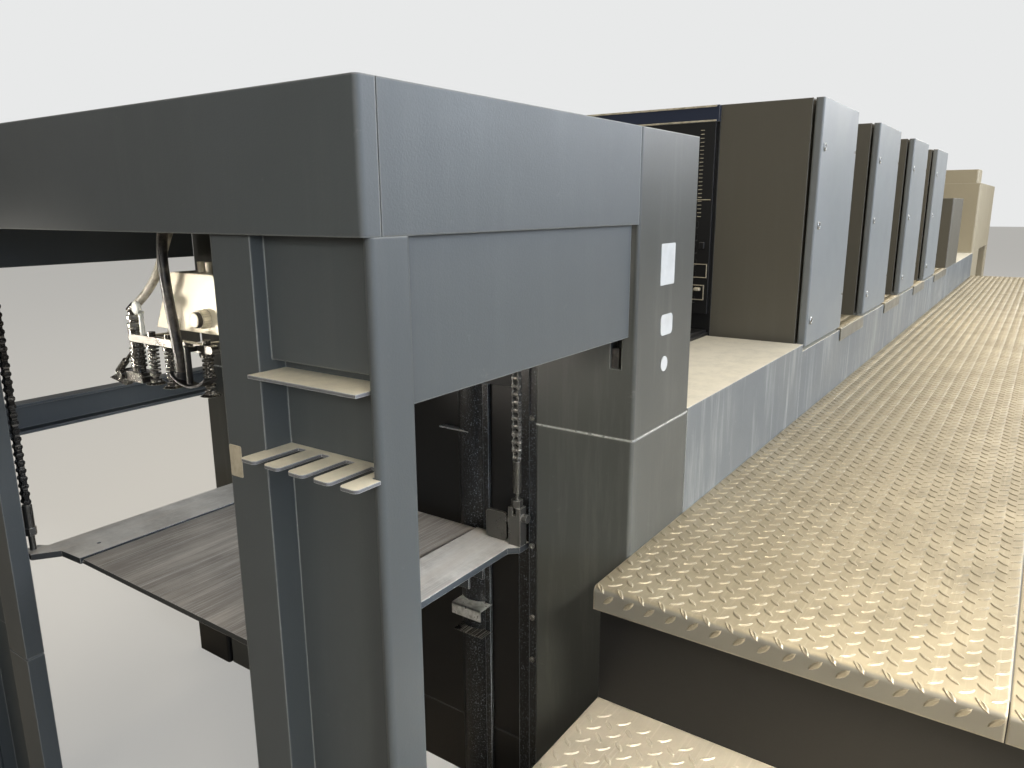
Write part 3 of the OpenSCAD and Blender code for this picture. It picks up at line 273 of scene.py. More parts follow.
# Sheet-steel covers of the feeder, units and ledges
# Folded steel sheet, sprayed and stoved in a dark grey texture enamel: a dull sheen, a fine
# orange peel, soft rounded folds and pale scuffs where things have rubbed.
def enamel(name, colour, wear="#8d8f8c", rough=0.42, peel_mm=3.0, scuff=0.35, dirt="#2b2724", dirty=0.25,
           fold_mm=4.0, pale_top=None, dust=0.0, runs=0.0):
    """Sprayed steel: clouds of handling marks, scuffs, and a pale line along the folds, partly wear and
    partly painted highlight, and orange peel by their size in mm. The orange peel is drawn at 3 mm or
    more, coarser than the real 1 mm, so that it shows. Its tops can be painted a paler colour, pale
    smears can run down it, and white dust can lie on it in specks."""
    cloud_m = 0.55
    m, t, bsdf = new_material(name)
    place = add(t, "TexCoord").outputs["Object"]
    cloud = add(t, "TexNoise", Vector=place, Scale=1 / cloud_m, Detail=5.0, Roughness=0.6)
    smear = add(t, "Mapping", Vector=place, Scale=(9.0, 9.0, 14.0))
    rub = add(t, "TexNoise", Vector=smear.outputs[0], Scale=2.0, Detail=10.0, Roughness=0.82)
    rub_on = add(t, "MapRange", Value=rub.outputs["Fac"], i1=0.62, i2=0.86, i3=0.0, i4=scuff)
    edge = add(t, "Bevel", {"samples": 4}, Radius=fold_mm / 1000)
    flat = add(t, "NewGeometry").outputs["Normal"]
    turn = add(t, "VectorMath", {"operation": "DOT_PRODUCT"}, i0=edge.outputs[0], i1=flat)
    # Folds and edges turn to the wear colour: partly worn paint, partly painted highlight.
    worn_and_lit_fold = add(t, "MapRange", Value=turn.outputs["Value"], i1=0.99, i2=0.86, i3=0.0, i4=0.75)
    soil = add(t, "Math", {"operation": "MULTIPLY"}, i0=cloud.outputs["Fac"], i1=dirty)
    tint = add(t, "Mix", {"data_type": "RGBA"}, i0=soil.outputs[0], i6=linear(colour), i7=linear(dirt))
    scuffed = add(t, "Mix", {"data_type": "RGBA"}, i0=rub_on.outputs[0], i6=tint.outputs[2], i7=linear(wear))
    worn = add(t, "Mix", {"data_type": "RGBA"}, i0=worn_and_lit_fold.outputs[0], i6=scuffed.outputs[2], i7=linear(wear))
    skin = worn.outputs[2]
    if runs:
        drawn = add(t, "Mapping", Vector=place, Scale=(18.0, 18.0, 1.6))
        run = add(t, "TexNoise", Vector=drawn.outputs[0], Scale=1.0, Detail=7.0, Roughness=0.72)
        streak = add(t, "MapRange", Value=run.outputs["Fac"], i1=0.5, i2=0.72, i3=0.0, i4=runs)
        skin = add(t, "Mix", {"data_type": "RGBA"}, i0=streak.outputs[0], i6=skin, i7=linear(wear)).outputs[2]
    # Faces that look up turn a paler colour in blotches.
    if pale_top:
        up = add(t, "SeparateXYZ", Vector=flat).outputs["Z"]
        blot = add(t, "TexNoise", Vector=place, Scale=14.0, Detail=9.0, Roughness=0.8)
        thin = add(t, "MapRange", Value=blot.outputs["Fac"], i1=0.3, i2=0.56, i3=0.7, i4=1.0)
        level = add(t, "MapRange", Value=up, i1=0.8, i2=0.95)
        cover = add(t, "Math", {"operation": "MULTIPLY"}, i0=thin.outputs[0], i1=level.outputs[0])
        skin = add(t, "Mix", {"data_type": "RGBA"}, i0=cover.outputs[0], i6=skin,
                   i7=linear(pale_top)).outputs[2]
    if dust:
        speck = add(t, "TexNoise", Vector=place, Scale=260.0, Detail=3.0, Roughness=0.8)
        drift = add(t, "MapRange", Value=rub.outputs["Fac"], i1=0.35, i2=0.65, i3=0.0, i4=dust)
        white = add(t, "MapRange", Value=speck.outputs["Fac"], i1=0.57, i2=0.63)
        lies = add(t, "Math", {"operation": "MULTIPLY"}, i0=drift.outputs[0], i1=white.outputs[0])
        skin = add(t, "Mix", {"data_type": "RGBA"}, i0=lies.outputs[0], i6=skin, i7=linear(wear)).outputs[2]
    t.links.new(skin, bsdf.inputs["Base Color"])
    shine = add(t, "MapRange", Value=cloud.outputs["Fac"], i1=0.3, i2=0.7, i3=rough - 0.06, i4=rough + 0.1)
    t.links.new(shine.outputs[0], bsdf.inputs["Roughness"])
    peel = add(t, "TexNoise", Vector=place, Scale=1000 / peel_mm, Detail=3.0, Roughness=0.6)
    bump = add(t, "Bump", Height=peel.outputs["Fac"], Normal=edge.outputs[0], Strength=0.35, Distance=0.0007)
    t.links.new(bump.outputs[0], bsdf.inputs["Normal"])
    return m


def finish(material, *names):
    """Gives CAD nodes a material."""
    for n in names:
        nodes[n].data.materials.clear()
        nodes[n].data.materials.append(material)


unit_numbers = range(1, 5)
# Stoved texture enamel, dark blue-grey: an even dull sheen with faint pale smears.
feeder_enamel = enamel("dark grey texture enamel", "#4b5153", wear="#9a9d9b", rough=0.44, runs=0.03)
# The same in a warmer grey, glossier and more handled, with pale dusty smears down it.
column_enamel = enamel("mid grey texture enamel", "#494c49", wear="#a3a69e", rough=0.32, scuff=0.4,
                       runs=0.1)
# Brown-grey texture enamel: a warm dull skin that turns dark in the shade.
unit_enamel = enamel("brown-grey texture enamel", "#5f5c51", dirty=0.2, runs=0.04)
# Light grey texture enamel: cool, clean and evenly lit.
door_enamel = enamel("light grey texture enamel", "#7e8384", wear="#c3c6c4", scuff=0.2)
# Grey enamel with blotched cream tops, and streaked, scuffed sides.
ledge_enamel = enamel("worn grey enamel", "#6d7274", wear="#c6c8c2", scuff=0.7, pale_top="#d2cebf",
                      runs=0.4)
# Black machine enamel: near black, with soft grey highlights along its edges.
black_enamel = enamel("black machine enamel", "#0c0d0e", wear="#4c4d4e", rough=0.42, scuff=0.2,
                      dirt="#171513")
# The same under white dust, which lies on it in fine specks.
dusty_black = enamel("dusty black enamel", "#101214", wear="#b9c4ce", rough=0.34, scuff=0.25, dust=0.7,
                     dirt="#1a1c1e")
# Navy enamel: deep blue, and black in the shade.
navy_enamel = enamel("navy enamel", "#222d44", scuff=0.2)
# Beige enamel: pale and warm, darker where dirt has gathered.
beige_enamel = enamel("beige enamel", "#a59c84", wear="#cfc9b8", scuff=0.15, dirt="#6d6351")
finish(feeder_enamel, "hood_fascia", "hood_sides", "hood_top", "feeder_bridge", "side_panels",
       "operator_rail", "tool_column", "operator_column", "column_bases")
finish(column_enamel, "front_columns", "front_column_bases")
finish(ledge_enamel, "ledges", "plinths")
finish(unit_enamel, *["drive_cabinet_%d" % i for i in unit_numbers], "operator_cabinets", "low_cabinets")
finish(door_enamel, *["drive_door_%d" % i for i in unit_numbers])
finish(black_enamel, *["unit_body_%d" % i for i in unit_numbers], "unit_guards", "pile_front_wall",
       "feed_table", "delivery_extension", "drive_deck_frame", "operator_deck_frame", "step_boxes",
       "presser_foot")
finish(dusty_black, "pile_guides")
finish(navy_enamel, "unit_beams")
finish(beige_enamel, "delivery_base", "delivery_housing", "delivery_top_box", "delivery_posts")


# Joint strips and trims
# Bright aluminium strips fill the joint round the front columns, and cream trims edge the navy
# beams of the units. They are cut from flat stock and lie in their grooves.
def bars(name, boxes, chamfer, material, body="root"):
    """Bars given by their low and high corners, with all edges broken by a chamfer, in one piece."""
    bm = bmesh.new()
    for low, high in boxes:
        low, high = Vector(low), Vector(high)
        size = high - low
        at = Matrix.Translation((low + high) / 2) @ Matrix.Diagonal((*size, 1))
        made = bmesh.ops.create_cube(bm, size=1.0, matrix=at)["verts"]
        edges = list({e for v in made for e in v.link_edges})
        bmesh.ops.bevel(bm, geom=edges, offset=min(chamfer, min(size) * 0.3), segments=1, affect="EDGES")
    mesh = bpy.data.meshes.new(name)
    bm.to_mesh(mesh)
    bm.free()
    piece = bpy.data.objects.new(name, mesh)
    bpy.context.scene.collection.objects.link(piece)
    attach(piece, body)
    return dress(piece, material)


def box_of(name):
    """A node's low and high corner as vectors."""
    low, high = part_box(name)
    return Vector(low), Vector(high)


# Anodised aluminium: a bright satin line, brighter than the paint round it.
bright_strip = moulded("anodised aluminium strip", "#e2e5e3", "#a4a7a3", 0.3)
bright_strip.node_tree.nodes["Principled BSDF"].inputs["Metallic"].default_value = 0.6
strip_in, strip_t, strip_h = 0.0012, 0.0018, 0.004
column_w = 0.244
base_low, base_high = box_of("front_column_bases")
joint_low, joint_high = base_high[2] - strip_h, base_high[2]
x0, x1 = base_low[0] + strip_in, base_high[0] - strip_in
strips = []
for side in (-1, 1):
    outer, inner = side * (base_high[1] - strip_in), side * (base_high[1] - column_w + strip_in)
    y0, y1 = min(outer, inner), max(outer, inner)
    out0, out1 = sorted((outer, outer - side * strip_t))
    strips += [((x0, y0, joint_low), (x0 + strip_t, y1, joint_high)),
               ((x1 - strip_t, y0, joint_low), (x1, y1, joint_high)),
               ((x0, out0, joint_low), (x1, out1, joint_high))]
bars("joint_strips", strips, 0.0002, bright_strip)

# Cream enamel on thin steel: a pale warm line against the navy.
cream_trim = moulded("cream trim enamel", "#cfc8b2", "#9a927c", 0.4)
beam_low, beam_high = box_of("unit_beams")
unit_pitch = 1.004
trim_h, trim_in, trim_out, trim_short = 0.006, 0.002, 0.003, 0.01
trims = []
for i in range(4):
    x = beam_low[0] + i * unit_pitch
    for z in (beam_low[2] + 0.001, beam_high[2] - 0.007):
        trims.append(((x - trim_out, beam_low[1] + trim_short, z),
                      (x + trim_in, beam_high[1] - trim_short, z + trim_h)))
bars("beam_trims", trims, 0.001, cream_trim)


# Bare plates
# Blank anodised aluminium plates with round corners, glued flat on the front column and on the
# tool column. Nothing is on them.
def blank_plate(name, centre, size, normal, radius, material, thick=0.0012):
    """A thin plate with round corners whose face looks along normal, sunk by a third of its
    thickness."""
    turn = Vector(normal).to_track_quat("Z", "Y").to_matrix().to_4x4()
    at = Matrix.Translation(Vector(centre)) @ turn
    w, h = size[0] / 2 - radius, size[1] / 2 - radius
    outline = []
    steps = 24
    for k in range(steps):
        a = 2 * math.pi * (k + 0.5) / steps
        outline.append((math.copysign(w, math.cos(a)) + radius * math.cos(a),
                        math.copysign(h, math.sin(a)) + radius * math.sin(a)))
    n = len(outline)
    rings = [(1.0, -thick / 3), (1.0, thick * 0.6), (0.985, thick)]
    points = [at @ Vector((x * s, y * s, z)) for s, z in rings for x, y in outline]
    faces = [tuple(range(n))[::-1], tuple(range(2 * n, 3 * n))]
    faces += [(r * n + k, r * n + (k + 1) % n, (r + 1) * n + (k + 1) % n, (r + 1) * n + k)
              for r in range(2) for k in range(n)]
    return dress(mesh_piece(name, points, faces), material)


# White anodised aluminium: flat, pale and even.
plate_white = moulded("white anodised plate", "#c3c6c6", "#b6b9b8", 0.4, grime_mm=60.0)
column_side = -0.755
for name, at, size, radius in (("column_plate_high", (0.896, 1.429), (0.072, 0.088), 0.003),
                               ("column_plate_low", (0.901, 1.298), (0.062, 0.046), 0.011),
                               ("column_disc", (0.896, 1.211), (0.034, 0.034), 0.0169)):
    blank_plate(name, (hood_x + at[0], column_side, at[1]), size, (0, -1, 0), radius, plate_white)
# Beige anodised aluminium, handled: duller than the paint beside it.
plate_beige = moulded("beige anodised plate", "#b5ad98", "#9a927f", 0.45)
blank_plate("tool_column_plate", (hood_x + 0.011, -0.452, 1.177), (0.028, 0.050), (-1, 0, 0), 0.003,
            plate_beige)


# Pile plate, comb rack and shelf
# Rolled steel plate scraped by years of use, so its side strips are rubbed bright and carry a painted
# reflection, and its middle has a brown skin. The rack and the shelf are folded from zinc-plated
# sheet, pale on top.
def bare_steel(name, colour, scratch, rough=0.35, scratch_mm=2.0, metallic=0.85, angles=(0.15, 1.3),
               rubbed_and_lit_from=None, amount=1.0, side=None, smear=None, edge_mm=1.5):
    """Bare metal with crossing scratches a few mm apart, blotches of old oil, and edges painted pale,
    partly as rubbed wear and partly as painted highlight. Further out from the middle of the press than
    rubbed_and_lit_from, in metres, it is painted bright, partly as rubbed metal and partly as a painted
    reflection. Its steep faces can be painted a colour of their own as painted shade, and pale smears
    can be drawn along it."""
    blotch_m = 0.12
    m, t, bsdf = new_material(name)
    bsdf.inputs["Metallic"].default_value = metallic
    place = add(t, "TexCoord").outputs["Object"]
    blotch = add(t, "TexNoise", Vector=place, Scale=1 / blotch_m, Detail=6.0, Roughness=0.65)
    lines = []
    for angle in angles:
        turned = add(t, "Mapping", Vector=place, Rotation=(0, 0, angle),
                     Scale=(4.0, 1000 / scratch_mm, 200.0))
        lines.append(add(t, "TexNoise", Vector=turned.outputs[0], Scale=1.0, Detail=3.0).outputs["Fac"])
    cross = add(t, "Math", {"operation": "MAXIMUM"}, i0=lines[0], i1=lines[1])
    cut = add(t, "MapRange", Value=cross.outputs[0], i1=0.58, i2=0.72, i3=0.0, i4=amount)
    dark = [c * 0.45 for c in linear(colour)[:3]] + [1]
    skin = add(t, "Mix", {"data_type": "RGBA"}, i0=blotch.outputs["Fac"], i6=linear(colour), i7=dark)
    top = skin.outputs[2]
    # Past rubbed_and_lit_from the metal turns to the scratch colour: partly rubbed, partly painted
    # reflection.
    if rubbed_and_lit_from:
        across = add(t, "SeparateXYZ", Vector=place).outputs["Y"]
        out = add(t, "Math", {"operation": "ABSOLUTE"}, i0=across)
        band = add(t, "MapRange", Value=out.outputs[0], i1=rubbed_and_lit_from - 0.004, i2=rubbed_and_lit_from + 0.004)
        bald = add(t, "MapRange", Value=blotch.outputs["Fac"], i1=0.28, i2=0.6, i3=0.95, i4=0.35)
        worn = add(t, "Math", {"operation": "MULTIPLY"}, i0=band.outputs[0], i1=bald.outputs[0])
        top = add(t, "Mix", {"data_type": "RGBA"}, i0=worn.outputs[0], i6=top, i7=linear(scratch)).outputs[2]
    if smear:
        drawn = add(t, "Mapping", Vector=place, Rotation=(0, 0, 0.1), Scale=(2.4, 26.0, 1.0))
        cloudy = add(t, "TexNoise", Vector=drawn.outputs[0], Scale=1.0, Detail=8.0, Roughness=0.7)
        lies = add(t, "MapRange", Value=cloudy.outputs["Fac"], i1=0.46, i2=0.7, i3=0.0, i4=0.75)
        top = add(t, "Mix", {"data_type": "RGBA"}, i0=lies.outputs[0], i6=top, i7=linear(smear)).outputs[2]
    skin = add(t, "Mix", {"data_type": "RGBA"}, i0=cut.outputs[0], i6=top, i7=linear(scratch)).outputs[2]
    edge = add(t, "Bevel", {"samples": 4}, Radius=edge_mm / 1000)
    flat = add(t, "NewGeometry").outputs["Normal"]
    # Steep faces take the side colour, darker than the tops: painted shade.
    if side:
        up = add(t, "Math", {"operation": "ABSOLUTE"}, i0=add(t, "SeparateXYZ", Vector=flat).outputs["Z"])
        level = add(t, "MapRange", Value=up.outputs[0], i1=0.5, i2=0.85)
        skin = add(t, "Mix", {"data_type": "RGBA"}, i0=level.outputs[0], i6=linear(side), i7=skin).outputs[2]
    turn = add(t, "VectorMath", {"operation": "DOT_PRODUCT"}, i0=edge.outputs[0], i1=flat)
    # Edges turn to the scratch colour: partly rubbed metal, partly painted highlight.
    rubbed = add(t, "MapRange", Value=turn.outputs["Value"], i1=0.985, i2=0.88, i3=0.0, i4=0.8)
    skin = add(t, "Mix", {"data_type": "RGBA"}, i0=rubbed.outputs[0], i6=skin, i7=linear(scratch)).outputs[2]
    t.links.new(skin, bsdf.inputs["Base Color"])
    shine = add(t, "MapRange", Value=blotch.outputs["Fac"], i1=0.3, i2=0.7, i3=rough - 0.08, i4=rough + 0.15)
    t.links.new(shine.outputs[0], bsdf.inputs["Roughness"])
    bump = add(t, "Bump", Height=cut.outputs[0], Normal=edge.outputs[0], Strength=0.2, Distance=0.0003)
    t.links.new(bump.outputs[0], bsdf.inputs["Normal"])
    return m


# Rolled steel under a brown skin: dull and streaked in the middle, pale and bright past the grooves,
# partly rubbed and partly painted reflection, with its edge faces painted dark as painted shade.
strip_from = 0.326
plate_steel = bare_steel("rolled steel plate", "#aaa399", "#e8e6de", rough=0.4, metallic=0.2,
                         angles=(0.02, 1.45), rubbed_and_lit_from=strip_from, amount=0.6, side="#303437",
                         smear="#c9c2b6")
# Zinc-plated sheet, dirty and worn: grey folds, and cream on what faces up.
rack_steel = enamel("worn zinc-plated sheet", "#6f7276", wear="#e4e6e4", rough=0.33, fold_mm=2.0,
                    pale_top="#e2dcc6")
finish(plate_steel, "pile_plate")
finish(rack_steel, "tool_shelf", "tool_rack")


# Lift chains
# Four roller chains of riveted steel links carry the plate: thin waisted side plates in pairs,
# rollers between them. The rear ones are painted nearly black, partly as oil and partly as painted
# shade, and the front ones grey, partly rubbed bright and partly painted light.
def revolve(profile, sides, place, axis, start=0.0):
    """Points and faces of a closed turned part. The profile lists radius and height along the axis."""
    turn = Vector(axis).to_track_quat("Z", "Y").to_matrix().to_4x4()
    at = Matrix.Translation(Vector(place)) @ turn
    points, faces = [], []
    for r, h in profile:
        for k in range(sides):
            a = 2 * math.pi * (k + start) / sides
            points.append(at @ Vector((r * math.cos(a), r * math.sin(a), h)))
    for j in range(len(profile) - 1):
        for k in range(sides):
            a, b = j * sides + k, j * sides + (k + 1) % sides
            faces.append((a, b, b + sides, a + sides))
    last = (len(profile) - 1) * sides
    faces.append(tuple(range(sides))[::-1])
    faces.append(tuple(range(last, last + sides)))
    return points, faces


def joined(name, parts, body="root"):
    """Parts, each as points and faces, as one piece."""
    points, faces = [], []
    for some, sides in parts:
        faces += [tuple(i + len(points) for i in f) for f in sides]
        points += some
    return mesh_piece(name, points, faces, body)


pitch = 0.01905
plate_r, waist = 0.0081, 0.0052
roller_r, roller_half, plate_t = 0.006, 0.0058, 0.0018
pin_r, pin_dome = 0.0028, 0.0004
plate_share = 0.94                       # of its place, so that the link plates stay apart


def link_plate(z, y, thick):
    """One waisted side plate from the pin at height z up to the next, at y across the chain."""
    cut = math.degrees(math.acos(waist / plate_r))
    outline = []
    arc_steps = 8
    for centre, first, last in ((0, 180 - cut, 360 + cut), (pitch, -cut, 180 + cut)):
        for k in range(arc_steps + 1):
            a = math.radians(first + (last - first) * k / arc_steps)
            outline.append((plate_r * math.cos(a), z + centre + plate_r * math.sin(a)))
    n = len(outline)
    points = [Vector((x, side, h)) for side in (y, y + thick) for x, h in outline]
    faces = [tuple(range(n)), tuple(range(n, 2 * n))[::-1]]
    faces += [((k + 1) % n, k, n + k, n + (k + 1) % n) for k in range(n)]
    return points, faces


def chain(name, x, y, top, links, material):
    """A hanging chain whose top pin is at height top, hung from the frame and pulled by the plate."""
    parts = []
    for i in range(links + 1):
        z = top - i * pitch
        parts.append(revolve([(roller_r, -roller_half), (roller_r, roller_half)], 12, (0, 0, z),
                             (0, 1, 0)))
        pin_end = roller_half + 3 * plate_t
        parts.append(revolve([(0.0022, -pin_end - pin_dome), (pin_r, -pin_end), (pin_r, pin_end),
                              (0.0022, pin_end + pin_dome)], 8, (0, 0, z), (0, 1, 0)))
        if i < links:
            out = roller_half + (plate_t if i % 2 else 0.0)
            thick = plate_t * plate_share
            parts.append(link_plate(z - pitch, out, thick))
            parts.append(link_plate(z - pitch, -out - thick, thick))
    piece = joined(name, parts, body=None)
    piece.location = (x, y, 0)
    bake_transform(piece)
    return dress(piece, material)


# Oiled chain steel: nearly black and wet, partly oil and partly painted shade, with bright rims that are
# partly painted highlight.
shaded_chain_steel = bare_steel("oiled chain steel with painted shade", "#262524", "#8b8882", rough=0.24, metallic=0.7,
                         edge_mm=0.5)
# The same rubbed dry: grey links, lighter partly from rubbing and partly as painted light, with shining edges
# that are partly painted highlight.
lit_chain_steel = bare_steel("rubbed chain steel with painted light", "#8a8882", "#d6d4cc", rough=0.26, metallic=0.6,
                          edge_mm=0.6)
chain_y = 0.466
top_gap = 0.0001
for node, links, at, look in (("lift_chains", 38, "rear", shaded_chain_steel),
                              ("front_lift_chains", 33, "front", lit_chain_steel)):
    low, high = box_of(node)
    for side, y_sign in (("drive", -1), ("operator", 1)):
        hung = chain("%s_chain_%s" % (at, side), (low[0] + high[0]) / 2, y_sign * chain_y,
                     high[2] - plate_r + top_gap, links, look)
        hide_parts(node)


# Hangers of the pile plate
# Turned and milled steel: rods and sleeves with rolled threads, so the plate can be levelled, in
# clevis blocks on the front ears. The rear ones are black with old grease.
def thread(x, y, z0, z1, radius, pitch_mm=2.5, depth=0.0012):
    """A helical ridge round a vertical rod, drawn coarser than the real 1.5 mm so that it shows."""
    step = pitch_mm / 1000
    foot, flank = radius - 0.0003, step * 0.36
    sides = 12
    turns = int((z1 - z0) / step)
    points, faces = [], []
    for k in range(turns * sides + 1):
        a = 2 * math.pi * k / sides
        z = z0 + step * k / sides
        for r, dz in ((foot, -flank), (radius + depth, 0.0), (foot, flank)):
            points.append(Vector((x + r * math.cos(a), y + r * math.sin(a), z + dz)))
        if k:
            a0, b0 = 3 * (k - 1), 3 * k
            faces += [(a0, b0, b0 + 1, a0 + 1), (a0 + 1, b0 + 1, b0 + 2, a0 + 2),
                      (a0 + 2, b0 + 2, b0, a0)]
    faces += [(0, 1, 2), (len(points) - 1, len(points) - 2, len(points) - 3)]
    return points, faces


# Machined steel: grey cut faces that look up, with their sides painted darker as painted shade.
lug_steel = bare_steel("machined steel", "#a5a39b", "#f0eee6", rough=0.3, side="#63625e")
# Blacked steel under old grease: dark and half wet.
black_steel = bare_steel("greased black steel", "#34322f", "#77746c", rough=0.3, metallic=0.6)
finish(lug_steel, "lift_lugs", "hoist_shafts", "head_rails", "sucker_bar")
lug_top, plate_top = box_of("lift_lugs")[1][2], box_of("pile_plate")[1][2]
rear_x, front_x = hood_x + 0.073, hood_x + 0.742
rod_r = 0.010
ridges = []
for s in (-1, 1):
    ridges.append(thread(rear_x, s * chain_y, plate_top + 0.058, lug_top - 0.097, rod_r))
    ridges.append(thread(front_x, s * chain_y, plate_top + 0.133, plate_top + 0.206, rod_r))
dress(joined("hanger_threads", ridges, "pile_lift"), black_steel)


# Suction head
# A cast aluminium housing in glossy cream enamel, over a row of chromed and blacked suckers that
# hang from one bar. A sight glass stands beside the outer sucker.

# Cream gloss enamel on a casting: bright, soft edged, with little dirt.
cream_enamel = enamel("cream gloss enamel", "#f0e9d4", wear="#b5ad98", rough=0.2, scuff=0.08,
                      dirt="#b9b096", dirty=0.15, peel_mm=6.0)
# Blacked and chromed steel: dark barrels with rims painted bright, partly chrome and partly painted
# highlight.
sucker_steel = bare_steel("blacked steel", "#4a4845", "#e4e2da", rough=0.24, metallic=0.8,
                          edge_mm=0.8)
# Clear acrylic, moulded: a pale glossy disc.
glass = moulded("sight-glass acrylic", "#dfe3df", "#b9beb8", 0.15)
finish(cream_enamel, "suction_head")
finish(sucker_steel, "suckers")
upward, rearward = (0, 0, 1), (-1, 0, 0)
sucker_x, bar_top, glass_y, glass_z = hood_x + 0.197, 1.295, 0.102, 1.352
bezel = [(0.0125, 0), (0.0135, 0.002), (0.0135, 0.007), (0.011, 0.009), (0.0105, 0.0078), (0.001, 0.0078)]
stem = [(0.005, 0), (0.005, 0.043), (0.0065, 0.045), (0.0065, 0.05)]
dress(joined("sight_glass", [
    revolve(bezel, 24, (sucker_x - 0.004, glass_y, glass_z), rearward),
    revolve(stem, 12, (sucker_x, glass_y, bar_top - 0.001), upward)]), glass)
knob_face = box_of("suction_head")[0][0]
knob_y, knob_z, knob_deep = -0.037, 1.332, 0.0142
cap = [(0.0148, -0.001), (0.0148, 0.0006), (0.0135, 0.0012), (0.004, 0.0014)]
rim = [(0.0149, 0), (0.0162, 0.001), (0.0162, 0.013), (0.0149, 0.014)]
dress(joined("knob_cap", [revolve(cap, 24, (knob_face, knob_y, knob_z), rearward)]), cream_trim)
dress(joined("knob_rim", [revolve(rim, 24, (knob_face + knob_deep, knob_y, knob_z), rearward)]),
      hose_rubber)
collar = [(0.0062, 0), (0.0098, 0.001), (0.0098, 0.005), (0.0062, 0.006)]
sucker_places, collar_heights = (-0.118, 0.010, 0.070), (1.210, 1.262)
dress(joined("sucker_collars", [revolve(collar, 6, (sucker_x, y, z), upward)
                                for y in sucker_places for z in collar_heights]), lug_steel)
clamp = [(0.0125, 0), (0.0145, 0.0015), (0.0145, 0.0085), (0.0125, 0.010)]
outer_sucker_y, clamp_heights = 0.130, (1.309, 1.325)
dress(joined("column_clamps", [revolve(clamp, 20, (sucker_x, outer_sucker_y, z), upward)
                               for z in clamp_heights]), lug_steel)


# Locks of the doors
# Chromed quarter-turn locks, pressed into the folded door edge and turned with a square key.

# Chromed brass: small and bright, mirroring what is round it.
chrome = bare_steel("chromed brass", "#b9bab8", "#e8e9e6", rough=0.22)
ring = [(0.0135, -0.001), (0.0135, 0.0010), (0.0122, 0.0018), (0.0100, 0.0018), (0.0096, 0.0004),
        (0.001, 0.0004)]
core = [(0.0094, 0.0), (0.0094, 0.0008), (0.0088, 0.0010)]
square = [(0.0042, 0.0), (0.0042, 0.0016), (0.0034, 0.0022)]
lock_in, lock_up, lock_down = 0.042, 0.087, 0.157
outward = (0, -1, 0)
for i in unit_numbers:
    low, high = box_of("drive_door_%d" % i)
    rings, cores = [], []
    for z in (low[2] + lock_up, (low[2] + high[2]) / 2, high[2] - lock_down):
        at = (low[0] + lock_in, low[1], z)
        rings.append(revolve(ring, 24, at, outward))
        cores.append(revolve(core, 20, at, outward))
        cores.append(revolve(square, 4, at, outward, start=0.5))
    dress(joined("door_locks_%d" % i, rings, "door_%d" % i), chrome)
    dress(joined("lock_cores_%d" % i, cores, "door_%d" % i), black_steel)


# Fittings on the first unit's guard
# The guard is pressed steel: louvre lips beside the column, painted cream as highlights on their
# edges, a bright joint line between its two panels, a framed lock box and a pull with a pale handle.
guard_x = beam_low[0]
seam_z = 1.571
lip_pitch, lip_count = 0.0138, 23
# The cream of the louvre lips is painted highlight.
lips = [((guard_x - 0.003, -0.352, seam_z - 0.060 + k * lip_pitch),
         (guard_x + 0.002, -0.338, seam_z - 0.058 + k * lip_pitch)) for k in range(lip_count)]
lips.append(((guard_x - 0.002, -0.386, seam_z), (guard_x + 0.002, -0.330, seam_z + 0.0025)))
bars("guard_lips", lips, 0.0006, cream_trim)
frame_t, frame_out, seat = 0.003, 0.004, 0.001
frame_bars = []
for y0, y1, z0, z1 in ((-0.386, -0.322, 1.288, 1.340), (-0.378, -0.330, 1.205, 1.262)):
    for b0, b1, h0, h1 in ((y0, y1, z0, z0 + frame_t), (y0, y1, z1 - frame_t, z1),
                           (y0, y0 + frame_t, z0 + frame_t, z1 - frame_t),
                           (y1 - frame_t, y1, z0 + frame_t, z1 - frame_t)):
        frame_bars.append(((guard_x - frame_out, b0, h0), (guard_x + seat, b1, h1)))
bars("guard_frames", frame_bars, 0.0006, plate_beige)
bars("guard_pull", [((guard_x - 0.016, -0.366, 1.240), (guard_x + seat, -0.342, 1.252))], 0.003,
     cream_trim)
bars("guard_lock", [((guard_x - 0.006, -0.372, 1.395), (guard_x + seat, -0.352, 1.420))], 0.002,
     black_enamel)


# Screws of the guide bars, and brackets of the front wall
# Steel cap screws hold the guide bars to the front columns. Bright angle brackets and thin dark
# lips stand on the wall in front of the plate.
bar_face, screw_y = hood_x + 0.758, 0.500
cap_screw = [(0.0062, -0.001), (0.0070, 0.0005), (0.0070, 0.0052), (0.0058, 0.0064), (0.003, 0.0064),
             (0.0028, 0.0035), (0.0004, 0.0035)]
screw_heights = (0.460, 0.575, 0.763, 1.079)
heads = [revolve(cap_screw, 12, (bar_face, s * screw_y, z), rearward)
         for s in (-1, 1) for z in screw_heights]
dress(joined("guide_screws", heads), lug_steel)
wall_face = hood_x + 0.790
in_wall = wall_face + seat
bracket_out, bracket_low, bracket_top = wall_face - 0.052, 0.520, 0.552
angles, lips_low = [], []
for s in (-1, 1):
    lo, hi = sorted((s * 0.261, s * 0.354))
    angles.append(((bracket_out, lo, 0.546), (in_wall, hi, bracket_top)))
    angles.append(((bracket_out, lo, bracket_low), (wall_face - 0.048, hi, bracket_top)))
    lips_low.append(((wall_face - 0.046, lo, 0.470), (in_wall, hi, 0.473)))
    lo, hi = sorted((s * 0.205, s * 0.300))
    angles.append(((wall_face - 0.018, lo, 1.006), (in_wall, hi, 1.010)))
bars("wall_brackets", angles, 0.0012, bright_strip)
bars("wall_lips", lips_low, 0.0006, sucker_steel)


# Dark pad in the cable cut-out, as painted shade
# A black rubber pad closes the back of the cut-out in the drive-side front column, put there as
# painted shade that darkens the hole.
cut_low, cut_high = (base_low[0] + 0.006, -0.7155, 1.1925), (base_low[0] + 0.014, -0.6905, 1.262)
bars("cut_out_shade_pad", [(cut_low, cut_high)], 0.0005, hose_rubber)


